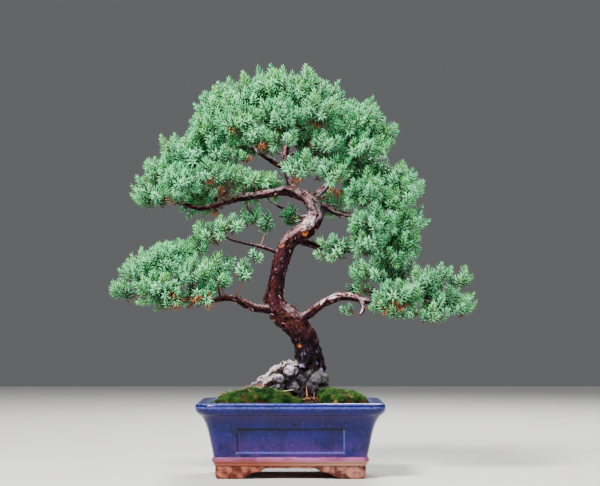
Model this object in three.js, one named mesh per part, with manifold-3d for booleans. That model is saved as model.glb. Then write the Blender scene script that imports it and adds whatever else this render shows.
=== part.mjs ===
// A juniper bonsai in a rectangular glazed pot, with its roots over a knobbly stone.
// Millimetres, +Z up, the front faces -Y. The origin is on the ground, at the middle of the whole tree's box.

import * as THREE from "three";
import { mergeVertices } from "three/addons/utils/BufferGeometryUtils.js";
import Module from "manifold-3d";

const wasm = await Module();
wasm.setup();

// Driving dimensions

const GAP = 0.35; // between pieces that touch

const POT = {
  halfX: 76, // half of the rim's length
  halfY: 59, // half of the rim's depth
  rimCorner: 13, // corner radius at the rim
  leastCorner: 4.5,
  cornerSteps: 3,
  floorZ: 17,
  underZ: 10.5,
  drainX: 30,
  drainRadius: 7,
};
// The outside of the pot from its underside to the lip, then the inside, down to the floor. Each row is
// [height, distance in from the rim].
const POT_PROFILE = [
  [10.5, 15.4],
  [12.6, 14.6],
  [13.6, 13.4],
  [16.4, 13.3],
  [17.4, 14.2],
  [27, 12.4],
  [36, 10.6],
  [42, 9],
  [47, 6.8],
  [50.5, 4.4],
  [52.5, 1.9],
  [55, 0.3],
  [58.5, 0.2],
  [60.6, 1.8],
  [61, 3.6],
  [60.6, 10.4],
  [58.5, 12],
  [50, 12.6],
  [35, 17.5],
  [20, 20.2],
  [POT.floorZ, 22],
];
const FEET = { footInset: 17, topInset: 15.6, innerInset: 24, topZ: POT.underZ - GAP };
// The cut under the pot between two feet: [distance in from the foot's edge at the ground, height]
const FOOT_CURVE = [
  [0, -1],
  [0.5, 0.4],
  [5, 3],
  [9, 5],
  [14.5, 5.8],
  [19, 8.6],
];
const FOOT_WIDTH = 20;
const PANEL = { halfX: 43.5, halfY: 28, lowZ: 20.4, highZ: 41.2, depth: 1.3 };

const SOIL = { edgeZ: 57.4, middleZ: 66, edgeInset: 12.5 };
const SCREEN = { size: 21, thick: 0.9, holes: 3, bar: 1.6 };

// Wood: each limb is a list of [x, y, z, radius] along its middle
const TRUNK = [
  [18, 6, 44, 9],
  [17, 5, 58, 12.5],
  [15.5, 4, 74, 13.2],
  [15.8, 1, 90, 11.9],
  [14.5, 0, 98, 11.4],
  [12.8, 0, 107, 10.2],
  [9.2, 0, 116, 10.3],
  [1.3, -1, 125.5, 10.6],
  [-8, -1, 133.5, 9.5],
  [-13.2, -1, 142, 8.4],
  [-12.6, -2, 153, 6.9],
  [-11.3, -3, 160, 6.4],
  [-9.7, -4, 168, 6.6],
  [-7.2, -5, 178, 6.6],
  [-3.9, -6, 187, 6.7],
  [1.5, -6, 194, 6.8],
  [12.2, -4, 201, 7.1],
  [18.9, -2, 210, 6.9],
  [19.5, 0, 220, 6.3],
  [13, 1, 228.2, 5.3],
  [4.6, 1, 231.5, 4.7],
  [-3.9, 0, 233.6, 4.1],
  [-13, -2, 232.3, 3.7],
  [-24, -5, 230, 3.4],
  [-38, -8, 227.5, 3.1],
  [-52, -10, 224, 2.8],
  [-65, -10, 220, 2.4],
  [-76, -8, 218.5, 2.1],
  [-89, -6, 222.5, 1.7],
  [-101, -4, 226, 1.2],
];
const BRANCHES = [
  // low on the right, arching over
  [
    [3, -2, 124, 4.6],
    [13, -5, 130.6, 4.1],
    [21, -8, 136.6, 3.8],
    [30, -11, 142.2, 3.5],
    [38.5, -13, 145.6, 3.4],
    [46, -13, 146.2, 3.4],
    [53, -12, 145, 3.2],
    [62, -10, 142.4, 2.7],
    [75, -7, 142.5, 2.2],
    [92, -4, 145, 1.9],
    [112, -2, 147, 1.5],
    [128, 0, 149, 1.1],
  ],
  // its cut stub, pointing down
  [
    [55, -12, 145, 2.3],
    [59.5, -14, 137.5, 1.9],
    [57, -15, 131, 1.2],
  ],
  // low on the left
  [
    [-9, -2, 136.4, 4.6],
    [-20, -5, 135.8, 4],
    [-31, -8, 137.4, 3.6],
    [-38.4, -10, 141, 3.4],
    [-46, -12, 144.8, 3.1],
    [-54, -12, 145.2, 2.8],
    [-64, -10, 142.6, 2.2],
    [-78, -8, 142, 2],
    [-94, -5, 145, 1.6],
    [-112, -3, 149, 1.1],
  ],
  // a thin twig half way up on the left
  [
    [-6, -5, 181, 2.2],
    [-15.4, -8, 184, 1.8],
    [-25, -10, 187, 1.5],
    [-36, -11, 189.4, 1.3],
    [-47, -11, 192, 1.1],
    [-57, -10, 197, 1],
  ],
  // half way up on the right, behind
  [
    [3, -5, 193, 3.3],
    [15, 3, 190, 2.9],
    [27, 8, 187, 2.5],
    [42, 10, 185, 2.2],
    [60, 8, 183, 1.9],
    [78, 4, 184, 1.5],
    [92, 0, 190, 1.1],
  ],
  // from the top bend to the right, behind
  [
    [19, 1, 219, 3.8],
    [27, 8, 222, 3.2],
    [36, 13, 217, 2.9],
    [50, 14, 214, 2.4],
    [66, 10, 216, 1.9],
    [84, 5, 222, 1.3],
  ],
  // up to the right shoulder of the crown
  [
    [17, 1, 225, 4],
    [27, 6, 236, 3.3],
    [38, 8, 246, 2.9],
    [52, 6, 258, 2.3],
    [62, 3, 271, 1.7],
    [68, 0, 282, 1.2],
  ],
  // leader up through the crown
  [
    [3, 1, 232, 4],
    [-1, 5, 244, 3.5],
    [-5, 7, 257, 3],
    [-3, 8, 272, 2.5],
    [2, 6, 288, 2],
    [5, 4, 303, 1.3],
  ],
  // from the leader to the left shoulder of the crown
  [
    [-4, 7, 252, 2.8],
    [-16, 5, 259, 2.4],
    [-30, 2, 268, 2],
    [-44, 0, 279, 1.5],
    [-54, 0, 288, 1.1],
  ],
  // out of the left branch, up to the left pad's top
  [
    [-45, -9, 226, 2.3],
    [-58, 0, 233, 1.9],
    [-72, 8, 243, 1.5],
    [-80, 12, 255, 1.1],
  ],
  // back of the crown
  [
    [-2, 6, 248, 2.6],
    [2, 20, 254, 2.2],
    [8, 34, 262, 1.8],
    [12, 46, 270, 1.2],
  ],
  // back, lower, from the trunk's upper bend
  [
    [17, -2, 207, 3],
    [16, 12, 208, 2.5],
    [10, 28, 212, 2.1],
    [0, 42, 218, 1.6],
    [-12, 50, 224, 1.1],
  ],
];
const ROOTS = [
  // the long pale ridge that runs down to the left over the stone
  [
    [10, 0, 87, 7],
    [0, -3, 88.4, 4.9],
    [-10, -4, 86.2, 4.5],
    [-20, -5, 79.2, 4.1],
    [-29.5, -8, 72.4, 3.5],
    [-38, -11, 65.5, 2.9],
    [-43, -13, 57, 2.3],
  ],
  // left, lower and further forward
  [
    [-12, -6, 80, 4],
    [-21, -13, 74, 3],
    [-28, -18, 66, 2.4],
    [-33, -21, 57, 1.8],
  ],
  // back left
  [
    [12, 6, 80, 8],
    [3, 14, 73, 5],
    [-7, 21, 65, 3.8],
    [-14, 26, 55, 3],
  ],
  // back right
  [
    [17, 6, 79, 7.5],
    [25, 13, 70, 4.8],
    [31, 18, 63, 3.6],
    [35, 21, 55, 3],
  ],
];

// Stone: overlapping knobs, each [x, y, z, radius]
const KNOBS = [
  [20.8, -12, 75.6, 9.6],
  [5, -12, 74, 10],
  [-3.5, -13, 83, 6.8],
  [-12, -14, 76, 7.6],
  [-25, -11, 69.5, 8.2],
  [8, -14, 65, 10],
];
const KNOB_RELIEF = 0.1; // share of the radius

// Moss: cushions on the soil, each [x, y, length, depth, height]
const MOSS = {
  moss_front_left: [-26, -34, 74, 24, 8],
  moss_front_right: [43, -28, 42, 36, 7.5],
  moss_back: [6, 38, 84, 17, 5],
};

// Foliage: sprays on the limbs, each [x, y, z, half length, half depth, half height]
const PADS = {
  upper_left: [
    [-114, -6, 229, 18, 23, 16],
    [-93, 14, 249, 20, 25, 18],
    [-74, -8, 266, 20, 26, 21],
    [-78, -22, 236, 21, 22, 17],
    [-48, -16, 243, 18, 20, 15],
    [-24, -22, 243, 15, 15, 12],
  ],
  crown: [
    [-57, 4, 293, 21, 28, 23],
    [-42, -24, 268, 20, 20, 17],
    [-29, 14, 307, 23, 27, 22],
    [-2, -6, 312, 23, 28, 23],
    [26, 10, 305, 22, 28, 22],
    [-13, -32, 283, 21, 21, 16],
    [17, -34, 275, 22, 20, 18],
    [46, -14, 286, 20, 24, 20],
    [70, 6, 285, 20, 28, 24],
    [58, -26, 258, 20, 20, 18],
    [14, -24, 247, 14, 14, 12],
    [37, -16, 238, 17, 18, 16],
  ],
  right: [
    [80, 2, 243, 20, 28, 17],
    [101, -4, 228, 16, 24, 20],
    [66, -18, 216, 20, 22, 16],
    [94, 6, 200, 22, 28, 18],
    [70, -12, 188, 20, 22, 15],
    [38, -6, 186, 16, 16, 12],
  ],
  lower_right: [
    [62, -4, 163, 20, 24, 15],
    [88, 12, 167, 21, 25, 15],
    [116, -4, 161, 20, 25, 15],
    [92, -20, 146, 23, 21, 14],
    [130, -2, 141, 21, 24, 13],
    [54, -25, 137, 11, 11, 8],
  ],
  lower_left: [
    [-133, -4, 152, 17, 22, 12],
    [-119, 8, 170, 18, 24, 15],
    [-93, -8, 179, 20, 22, 17],
    [-103, -22, 151, 21, 19, 15],
    [-72, -20, 158, 20, 20, 16],
    [-58, 8, 174, 16, 20, 14],
    [-80, 14, 146, 21, 22, 13],
  ],
  twig: [
    [-64, -12, 204, 15, 16, 13],
    [-44, -16, 199, 12, 13, 11],
    [-32, -14, 170, 11, 12, 14],
    [-28, 10, 213, 12, 13, 12],
  ],
  back: [
    [18, 58, 276, 28, 20, 21],
    [-36, 48, 276, 27, 21, 20],
    [62, 44, 250, 25, 22, 22],
    [-22, 62, 232, 27, 20, 17],
    [30, 52, 222, 24, 20, 17],
    [0, 16, 213, 12, 12, 12],
    [-70, 36, 226, 22, 20, 16],
  ],
};
const NEEDLE = { length: 7.2, angle: 52, stem: 0.95, band: 4.4, lift: 0.12, bud: 5 };
const SHOOTS = { most: 6, few: 4, smallRadius: 15, reaches: [0.88, 0.8, 0.72, 0.64, 0.56] };
const CORE_SHARE = 0.4; // of the spray's half sizes

// Random draws, seeded

function draws(seed) {
  let state = seed >>> 0;
  return () => {
    state = (state + 0x6d2b79f5) >>> 0;
    let t = state;
    t = Math.imul(t ^ (t >>> 15), t | 1);
    t ^= t + Math.imul(t ^ (t >>> 7), t | 61);
    return ((t ^ (t >>> 14)) >>> 0) / 4294967296;
  };
}

// Solids

function solid(geometry) {
  const bare = geometry.clone();
  bare.deleteAttribute("normal");
  bare.deleteAttribute("uv");
  const merged = mergeVertices(bare, 1e-3);
  return new wasm.Manifold(
    new wasm.Mesh({
      numProp: 3,
      vertProperties: new Float32Array(merged.attributes.position.array),
      triVerts: new Uint32Array(merged.index.array),
    }),
  );
}

function joined(solids) {
  return solids.reduce((sum, next) => sum.add(next));
}

// The largest of the bodies in a solid: a scrap that a cut leaves loose is dropped.
function largest(made) {
  const bodies = made.decompose();
  return bodies.reduce((best, next) => (next.volume() > best.volume() ? next : best));
}

function geometryOf(made) {
  const { vertProperties, numProp, numVert, triVerts } = made.getMesh();
  const position = new Float32Array(numVert * 3);
  for (let i = 0; i < numVert; i++) {
    position.set(vertProperties.subarray(i * numProp, i * numProp + 3), i * 3);
  }
  const geometry = new THREE.BufferGeometry();
  geometry.setAttribute("position", new THREE.BufferAttribute(position, 3));
  geometry.setIndex(new THREE.BufferAttribute(new Uint32Array(triVerts), 1));
  geometry.computeVertexNormals();
  return geometry;
}

// A closed skin over rings that all have the same number of points, with a fan across each end.
function loft(rings) {
  const sides = rings[0].length;
  const middle = (ring) =>
    ring.reduce((sum, p) => sum.add(p), new THREE.Vector3()).divideScalar(sides);
  const points = [...rings.flat(), middle(rings[0]), middle(rings.at(-1))];
  const first = points.length - 2;
  const last = points.length - 1;
  const top = (rings.length - 1) * sides;
  const index = [];
  for (let j = 0; j < sides; j++) {
    const k = (j + 1) % sides;
    for (let i = 0; i < rings.length - 1; i++) {
      const low = i * sides;
      const high = low + sides;
      index.push(low + j, low + k, high + k, low + j, high + k, high + j);
    }
    index.push(first, k, j, last, top + j, top + k);
  }
  const geometry = new THREE.BufferGeometry().setFromPoints(points);
  geometry.setIndex(index);
  return geometry;
}

// Pot

function roundedRing(inset, z, scale = 1) {
  const halfX = POT.halfX - inset;
  const halfY = POT.halfY - inset;
  const radius = Math.max(POT.leastCorner, POT.rimCorner - inset / 2);
  const ring = [];
  for (let corner = 0; corner < 4; corner++) {
    const sideX = corner === 0 || corner === 3 ? 1 : -1;
    const sideY = corner < 2 ? 1 : -1;
    for (let i = 0; i <= POT.cornerSteps; i++) {
      const angle = (Math.PI / 2) * (corner + i / POT.cornerSteps);
      const x = sideX * (halfX - radius) + radius * Math.cos(angle);
      const y = sideY * (halfY - radius) + radius * Math.sin(angle);
      ring.push(new THREE.Vector3(x * scale, y * scale, z));
    }
  }
  return ring;
}

// An outline cut straight through the skirt, along Y or, turned, along X.
function archCut(halfWidth, turned) {
  const outline = new THREE.Shape();
  const left = FOOT_CURVE.map(([inward, z]) => new THREE.Vector2(-halfWidth + inward, z));
  const right = left.map((p) => new THREE.Vector2(-p.x, p.y)).reverse();
  outline.setFromPoints([...left, ...right]);
  const length = 2 * POT.halfX;
  const cut = new THREE.ExtrudeGeometry(outline, { depth: length, bevelEnabled: false });
  cut.translate(0, 0, -length / 2);
  cut.rotateX(Math.PI / 2);
  if (turned) cut.rotateZ(Math.PI / 2);
  return solid(cut);
}

function panelCut(body) {
  const height = PANEL.highZ - PANEL.lowZ;
  const along = new THREE.BoxGeometry(2 * PANEL.halfX, 2 * POT.halfY, height);
  const across = new THREE.BoxGeometry(2 * POT.halfX, 2 * PANEL.halfY, height);
  const slabs = [along, across].map((slab) => {
    slab.translate(0, 0, (PANEL.lowZ + PANEL.highZ) / 2);
    return solid(slab);
  });
  return joined(slabs).subtract(body);
}

function makePot() {
  const body = solid(loft(POT_PROFILE.map(([z, inset]) => roundedRing(inset, z))));
  const wall = POT_PROFILE.slice(0, 12).map(([z, inset]) => roundedRing(inset + PANEL.depth, z));
  let pot = body.subtract(panelCut(solid(loft(wall))));
  for (const side of [-1, 1]) {
    const drain = new THREE.CylinderGeometry(POT.drainRadius, POT.drainRadius, 20, 14);
    drain.rotateX(Math.PI / 2);
    drain.translate(side * POT.drainX, 0, POT.floorZ - 5);
    pot = pot.subtract(solid(drain));
  }
  return pot;
}

// The ring of clay under the pot, cut away between its four feet. It is fired in one with the pot, and is
// a solid of its own here so that the space under the pot stays open to collisions.
function makeFeet() {
  const { footInset, topInset, innerInset, topZ } = FEET;
  const ring = solid(
    loft([roundedRing(footInset, 0), roundedRing(topInset, 2), roundedRing(topInset, topZ)]),
  );
  const inside = solid(loft([-1, topZ + 1].map((z) => roundedRing(innerInset, z))));
  return ring
    .subtract(inside)
    .subtract(archCut(POT.halfX - footInset - FOOT_WIDTH, false))
    .subtract(archCut(POT.halfY - footInset - FOOT_WIDTH, true));
}

function boxAt(x, y, z, sizeX, sizeY, sizeZ) {
  return solid(new THREE.BoxGeometry(sizeX, sizeY, sizeZ).translate(x, y, z));
}

// A square of plastic mesh over a drain hole, or, with a clearance, the plain block of room it needs
function makeScreen(x, clearance = 0) {
  const { size, thick, holes, bar } = SCREEN;
  const z = POT.floorZ + GAP + thick / 2;
  if (clearance) {
    const wide = size + 2 * clearance;
    return boxAt(x, 0, z - clearance, wide, wide, thick + 4 * clearance);
  }
  const pitch = (size - bar) / holes;
  const hole = pitch - bar;
  let screen = boxAt(x, 0, z, size, size, thick);
  for (let i = 0; i < holes; i++) {
    for (let j = 0; j < holes; j++) {
      const across = (i - (holes - 1) / 2) * pitch;
      const along = (j - (holes - 1) / 2) * pitch;
      screen = screen.subtract(boxAt(x + across, along, z, hole, hole, 3 * thick));
    }
  }
  return screen;
}

// Soil

// Soil height at a share of the way from the middle, 0, to the edge, 1
function soilHeight(share, angle) {
  const swell = 0.8 * Math.sin(3 * angle + 4 * share) * share * (1 - share);
  return SOIL.edgeZ + (SOIL.middleZ - SOIL.edgeZ) * (1 - share * share) + 2 * swell;
}

function makeSoil(lift = 0) {
  const rings = [
    roundedRing(22 + GAP + 0.3, POT.floorZ + GAP),
    roundedRing(20.2 + GAP + 0.1, 20),
    roundedRing(17.5 + GAP, 35),
    roundedRing(12.6 + GAP, 50),
    roundedRing(SOIL.edgeInset + GAP, SOIL.edgeZ + lift),
  ];
  for (const share of [0.8, 0.5, 0.2]) {
    const ring = roundedRing(SOIL.edgeInset + GAP, 0, share);
    for (const p of ring) p.z = soilHeight(share, Math.atan2(p.y, p.x)) + lift;
    rings.push(ring);
  }
  return solid(loft(rings));
}

// Wood

function smooth(points, steps) {
  const route = new THREE.CatmullRomCurve3(
    points.map(([x, y, z]) => new THREE.Vector3(x, y, z)),
    false,
    "centripetal",
  );
  const stops = [];
  for (let i = 0; i <= steps; i++) {
    const t = i / steps;
    const place = t * (points.length - 1);
    const low = Math.min(Math.floor(place), points.length - 2);
    const radius = THREE.MathUtils.lerp(points[low][3], points[low + 1][3], place - low);
    stops.push({ at: route.getPoint(t), along: route.getTangent(t), radius });
  }
  return stops;
}

// A tapering tube along stops, with low knots in its skin. clearance makes it that much thicker.
function limb(points, sides, steps, { clearance = 0, relief = 0.07 } = {}) {
  const stops = smooth(points, steps);
  let across = new THREE.Vector3(0, 1, 0.2);
  const rings = stops.map(({ at, along, radius }, i) => {
    across = across.clone().addScaledVector(along, -across.dot(along)).normalize();
    const over = new THREE.Vector3().crossVectors(along, across);
    const isEnd = i === 0 ? -1 : i === stops.length - 1 ? 1 : 0;
    const middle = at.clone().addScaledVector(along, isEnd * clearance);
    return Array.from({ length: sides }, (_, j) => {
      const angle = (2 * Math.PI * j) / sides;
      const knot = 1 + relief * Math.sin(3 * angle + 1.7 * i) + relief * Math.sin(5 * angle - 2.3 * i);
      const reach = radius * knot + clearance;
      return middle
        .clone()
        .addScaledVector(across, reach * Math.cos(angle))
        .addScaledVector(over, reach * Math.sin(angle));
    });
  });
  return solid(loft(rings));
}

// A spray's heart is a point below the middle of its pad, which its shoots grow away from.
const SPRAYS = Object.entries(PADS).flatMap(([pad, list]) => {
  const mean = (axis) => list.reduce((sum, spray) => sum + spray[axis], 0) / list.length;
  const heart = new THREE.Vector3(mean(0), 0, mean(2) - 15);
  return list.map(([x, y, z, halfX, halfY, halfZ], i) => ({
    name: `spray_${pad}_${i + 1}`,
    middle: new THREE.Vector3(x, y, z),
    half: new THREE.Vector3(halfX, halfY, halfZ),
    heart,
  }));
});

// Every stop of the limbs that a twig may leave from
const CARRIERS = [TRUNK.slice(20), ...BRANCHES].flatMap((points) => smooth(points, 6 * points.length));

// A twig from the nearest limb to just inside a spray's core, or nothing where the limb itself gets there
function twigTo({ middle, half }) {
  const cost = (stop) => stop.at.distanceTo(middle) + 0.4 * Math.max(0, stop.at.z - middle.z);
  const from = CARRIERS.reduce((best, stop) => (cost(stop) < cost(best) ? stop : best));
  const back = from.at.clone().sub(middle);
  const core = CORE_SHARE / back.clone().normalize().divide(half).length();
  if (back.length() < core) return { start: from.at, twig: null };
  const end = middle.clone().addScaledVector(back.normalize(), 0.5 * core);
  const thick = THREE.MathUtils.clamp(0.8 * from.radius, 1, 1.6);
  return {
    start: from.at,
    twig: [
      [...from.at.toArray(), thick],
      [...end.toArray(), 0.9],
    ],
  };
}

for (const spray of SPRAYS) Object.assign(spray, twigTo(spray));
const TWIGS = SPRAYS.map(({ twig }) => twig).filter(Boolean);

function makeWood(clearance = 0) {
  const shape = { clearance };
  const parts = [limb(TRUNK, 8, 34, shape)];
  for (const points of BRANCHES) parts.push(limb(points, 5, points.length - 1, shape));
  for (const points of ROOTS) parts.push(limb(points, 5, 5, shape));
  for (const twig of TWIGS) parts.push(limb(twig, 3, 1, { clearance, relief: 0 }));
  return joined(parts);
}

// Stone

function makeStone(clearance = 0) {
  const knobs = KNOBS.map(([x, y, z, radius], i) => {
    const knob = new THREE.SphereGeometry(1, 8, 5);
    const position = knob.attributes.position;
    for (let v = 0; v < position.count; v++) {
      const p = new THREE.Vector3().fromBufferAttribute(position, v).normalize();
      const bump = Math.sin(5 * p.x + 3 * i) * Math.cos(4 * p.y - 2 * i) + 0.6 * Math.sin(7 * p.z + i);
      p.multiplyScalar(radius * (1 + KNOB_RELIEF * bump) + clearance);
      position.setXYZ(v, x + p.x, y + p.y, z + p.z);
    }
    return solid(knob);
  });
  return joined(knobs);
}

// Moss

function mossCushion([x, y, length, depth, height], seed) {
  const random = draws(seed);
  const sides = 12;
  const edge = Array.from({ length: sides }, () => 0.85 + 0.3 * random());
  const ring = (share, z) =>
    edge.map((reach, j) => {
      const angle = (2 * Math.PI * j) / sides;
      const nx = x + 0.5 * length * share * reach * Math.cos(angle);
      const ny = y + 0.5 * depth * share * reach * Math.sin(angle);
      return new THREE.Vector3(nx, ny, z(nx, ny));
    });
  // the share of the way out to the edge of the soil
  const ground = (px, py) => {
    const share = Math.min(1, Math.max(Math.abs(px) / 63, Math.abs(py) / 46));
    return soilHeight(share, Math.atan2(py, px));
  };
  const below = () => SOIL.edgeZ - 3;
  return solid(
    loft([
      ring(1, below),
      ring(1, (px, py) => ground(px, py) + 0.25 * height),
      ring(0.82, (px, py) => ground(px, py) + (0.75 + 0.1 * random()) * height),
      ring(0.45, (px, py) => ground(px, py) + (0.95 + 0.1 * random()) * height),
    ]),
  );
}

// Foliage

const clearOfWood = [
  ...smooth(TRUNK, 120),
  ...BRANCHES.flatMap((points) => smooth(points, 5 * points.length)),
  ...TWIGS.flatMap((twig) => smooth(twig, 10)),
];

function woodGap(p) {
  return Math.min(...clearOfWood.map((stop) => stop.at.distanceTo(p) - stop.radius));
}

// Each spray owns the space where its own ellipsoid is the nearest. margin is what is kept from its border.
function inOwnSpace(p, own, margin) {
  const measure = ({ middle, half }) => {
    const d = p.clone().sub(middle);
    const scaled = d.clone().divide(half);
    return { value: scaled.lengthSq(), slope: scaled.clone().divide(half).multiplyScalar(2) };
  };
  const mine = measure(own);
  return SPRAYS.every((other) => {
    if (other === own) return true;
    if (other.middle.distanceTo(p) > 90) return true;
    const theirs = measure(other);
    const steepness = theirs.slope.clone().sub(mine.slope).length();
    return theirs.value - mine.value > margin * steepness;
  });
}

// Directions spread evenly over a ball, from nearly forward to nearly back
function spread(count, forward, turn) {
  const aside = new THREE.Vector3(forward.y, -forward.x, 0.3).cross(forward).normalize();
  const over = new THREE.Vector3().crossVectors(forward, aside);
  const golden = Math.PI * (3 - Math.sqrt(5));
  return Array.from({ length: count }, (_, i) => {
    const rise = 1 - (2 * i + 0.6) / (count + 0.9);
    const out = Math.sqrt(Math.max(0, 1 - rise * rise));
    const angle = golden * i + turn;
    return forward
      .clone()
      .multiplyScalar(rise)
      .addScaledVector(aside, out * Math.cos(angle))
      .addScaledVector(over, out * Math.sin(angle));
  });
}

// The faces of a shoot that grows out of a face of the core. The stem is three-sided, and each of its rings
// is turned a sixth from the last. Three faces of each band are drawn out into needles, so that each whorl of
// three stands between the needles of the whorl before.
function leafyShoot(face, middle, end, { bare, random, mayReach }) {
  const along = end.clone().sub(middle);
  const length = along.length();
  along.normalize();
  const across = face[0].clone().sub(middle);
  across.addScaledVector(along, -across.dot(along)).normalize();
  const over = new THREE.Vector3().crossVectors(along, across);
  const bands = Math.max(2, Math.round((length - bare) / NEEDLE.band));
  const rings = [face];
  for (let k = 0; k <= bands; k++) {
    const reach = bare + ((length - bare) * k) / bands;
    const radius = NEEDLE.stem * (1 - (0.4 * k) / bands);
    const heart = middle.clone().addScaledVector(along, reach);
    heart.z += (NEEDLE.lift * (reach - bare) ** 2) / length;
    rings.push(
      [0, 1, 2].map((i) => {
        const angle = (Math.PI / 3) * (k + 1 + 2 * i);
        return heart
          .clone()
          .addScaledVector(across, radius * Math.cos(angle))
          .addScaledVector(over, radius * Math.sin(angle));
      }),
    );
  }
  const lean = THREE.MathUtils.degToRad(NEEDLE.angle);
  const needle = (a, b, c, heart) => {
    const foot = centre([a, b, c]);
    const out = foot.clone().sub(heart);
    out.addScaledVector(along, -out.dot(along)).normalize();
    for (const share of [1, 0.72, 0.45]) {
      const long = NEEDLE.length * share * (0.85 + 0.3 * random());
      const tip = foot
        .clone()
        .addScaledVector(out, long * Math.sin(lean))
        .addScaledVector(along, long * Math.cos(lean));
      if (mayReach(tip)) return pointed([a, b, c], tip);
    }
    return [[a, b, c]];
  };
  const triangles = [];
  for (let k = 0; k < rings.length - 1; k++) {
    const low = rings[k];
    const high = rings[k + 1];
    for (let i = 0; i < 3; i++) {
      const next = (i + 1) % 3;
      if (k === 0) triangles.push([low[i], low[next], high[i]]);
      else triangles.push(...needle(low[i], low[next], high[i], centre(low)));
      triangles.push([high[i], low[next], high[next]]);
    }
  }
  const top = rings.at(-1);
  triangles.push(...pointed(top, centre(top).addScaledVector(along, NEEDLE.bud)));
  return triangles;
}

function centre(points) {
  return points.reduce((sum, p) => sum.add(p), new THREE.Vector3()).divideScalar(points.length);
}

// The three sides of a pyramid
function pointed([a, b, c], tip) {
  return [
    [a, b, tip],
    [b, c, tip],
    [c, a, tip],
  ];
}

function makeSpray(spray, index, woodRoom) {
  const { middle, half, heart, start } = spray;
  const random = draws(1000 + index);
  const ball = new THREE.IcosahedronGeometry(1, 0).attributes.position;
  const faces = [];
  for (let v = 0; v < ball.count; v += 3) {
    const corners = [v, v + 1, v + 2].map((i) => new THREE.Vector3().fromBufferAttribute(ball, i));
    faces.push({ toward: centre(corners).normalize(), corners, free: true });
  }
  const onCore = (p) => {
    const bump = 1 + 0.2 * Math.sin(4 * p.x + 3 * p.y + index) * Math.cos(3 * p.z + index);
    return p.clone().multiply(half).multiplyScalar(CORE_SHARE * bump).add(middle);
  };
  const forward = middle.clone().sub(heart).normalize();
  forward.addScaledVector(middle.clone().sub(start).normalize(), 0.4).normalize();
  const isSmall = Math.cbrt(half.x * half.y * half.z) < SHOOTS.smallRadius;
  for (const wanted of spread(isSmall ? SHOOTS.few : SHOOTS.most, forward, 2 * Math.PI * random())) {
    const fit = (face) => (face.free ? face.toward.dot(wanted) : -2);
    faces.reduce((best, face) => (fit(face) > fit(best) ? face : best)).free = false;
  }
  const grown = faces.filter((face) => !face.free);
  const triangles = [];
  for (const face of faces) {
    const corners = face.corners.map(onCore);
    const reach = half.clone().multiply(face.toward);
    // a needle stays on its own shoot's side of the spray, in the spray's own space, and off the wood
    const mayReach = (p) => {
      const toward = p.clone().sub(middle).divide(half).normalize();
      const own = toward.dot(face.toward);
      if (grown.some((other) => other !== face && toward.dot(other.toward) > own - 0.05)) return false;
      return inOwnSpace(p, spray, 0.4) && woodGap(p) > 0.8;
    };
    const end = SHOOTS.reaches
      .map((share) => middle.clone().addScaledVector(reach, share))
      .find((p) => inOwnSpace(p, spray, 1.5) && woodGap(p) > 1.5);
    if (face.free || !end) {
      triangles.push(corners);
      continue;
    }
    const bare = CORE_SHARE * reach.length();
    triangles.push(...leafyShoot(corners, middle, end, { bare, random, mayReach }));
  }
  const whole = solid(new THREE.BufferGeometry().setFromPoints(triangles.flat()));
  return largest(whole.subtract(woodRoom));
}

// Materials

const finish = (color, roughness) =>
  new THREE.MeshStandardMaterial({ color, roughness, metalness: 0 });
const MATERIALS = {
  glaze: finish(0x33478f, 0.25),
  clay: finish(0xb06a45, 0.85),
  soil: finish(0x3d2f26, 0.95),
  moss: finish(0x3f7a1e, 0.9),
  stone: finish(0x8d8782, 0.85),
  bark: finish(0x7a4a45, 0.8),
  foliage: finish(0x7db796, 0.7),
  screen: finish(0x1c1f1d, 0.6),
};

// Assembly

function buildTree() {
  const tree = new THREE.Group();
  const put = (name, made, material) => {
    const mesh = new THREE.Mesh(geometryOf(made), material);
    mesh.name = name;
    tree.add(mesh);
  };
  const wood = makeWood();
  const woodRoom = makeWood(GAP);
  const stoneRoom = makeStone(GAP);
  put("pot", makePot(), MATERIALS.glaze);
  put("pot_feet", makeFeet(), MATERIALS.clay);
  put("drain_screen_left", makeScreen(-POT.drainX), MATERIALS.screen);
  put("drain_screen_right", makeScreen(POT.drainX), MATERIALS.screen);
  put(
    "soil",
    makeSoil()
      .subtract(woodRoom)
      .subtract(stoneRoom)
      .subtract(makeScreen(-POT.drainX, GAP))
      .subtract(makeScreen(POT.drainX, GAP)),
    MATERIALS.soil,
  );
  put("trunk", wood, MATERIALS.bark);
  put("stone", largest(makeStone().subtract(woodRoom)), MATERIALS.stone);
  const mossRoom = solid(loft([40, 90].map((z) => roundedRing(SOIL.edgeInset + 2 * GAP, z))));
  const ground = makeSoil(GAP).add(woodRoom).add(stoneRoom);
  Object.entries(MOSS).forEach(([name, cushion], i) => {
    put(name, largest(mossCushion(cushion, 50 + i).intersect(mossRoom).subtract(ground)), MATERIALS.moss);
  });
  SPRAYS.forEach((spray, i) => put(spray.name, makeSpray(spray, i, woodRoom), MATERIALS.foliage));
  return tree;
}

const bonsai = new THREE.Group();
bonsai.add(buildTree());
const box = new THREE.Box3().setFromObject(bonsai);
bonsai.position.set(-(box.min.x + box.max.x) / 2, -(box.min.y + box.max.y) / 2, -box.min.z);

export default bonsai;
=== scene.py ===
# %% [markdown]
# # A juniper bonsai in a blue pot
#
# The tree is a small juniper with a winding trunk. Its foliage grows in pads of bottle-brush shoots, its
# roots run over a knobbly stone, and moss covers the soil of a glazed pot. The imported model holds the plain
# solids. This lesson dresses them: it builds each surface finely enough to look real, in the place where the
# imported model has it.

import math
import random

import bmesh
import bpy
import numpy as np
from mathutils import Matrix, Vector, kdtree, noise


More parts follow.
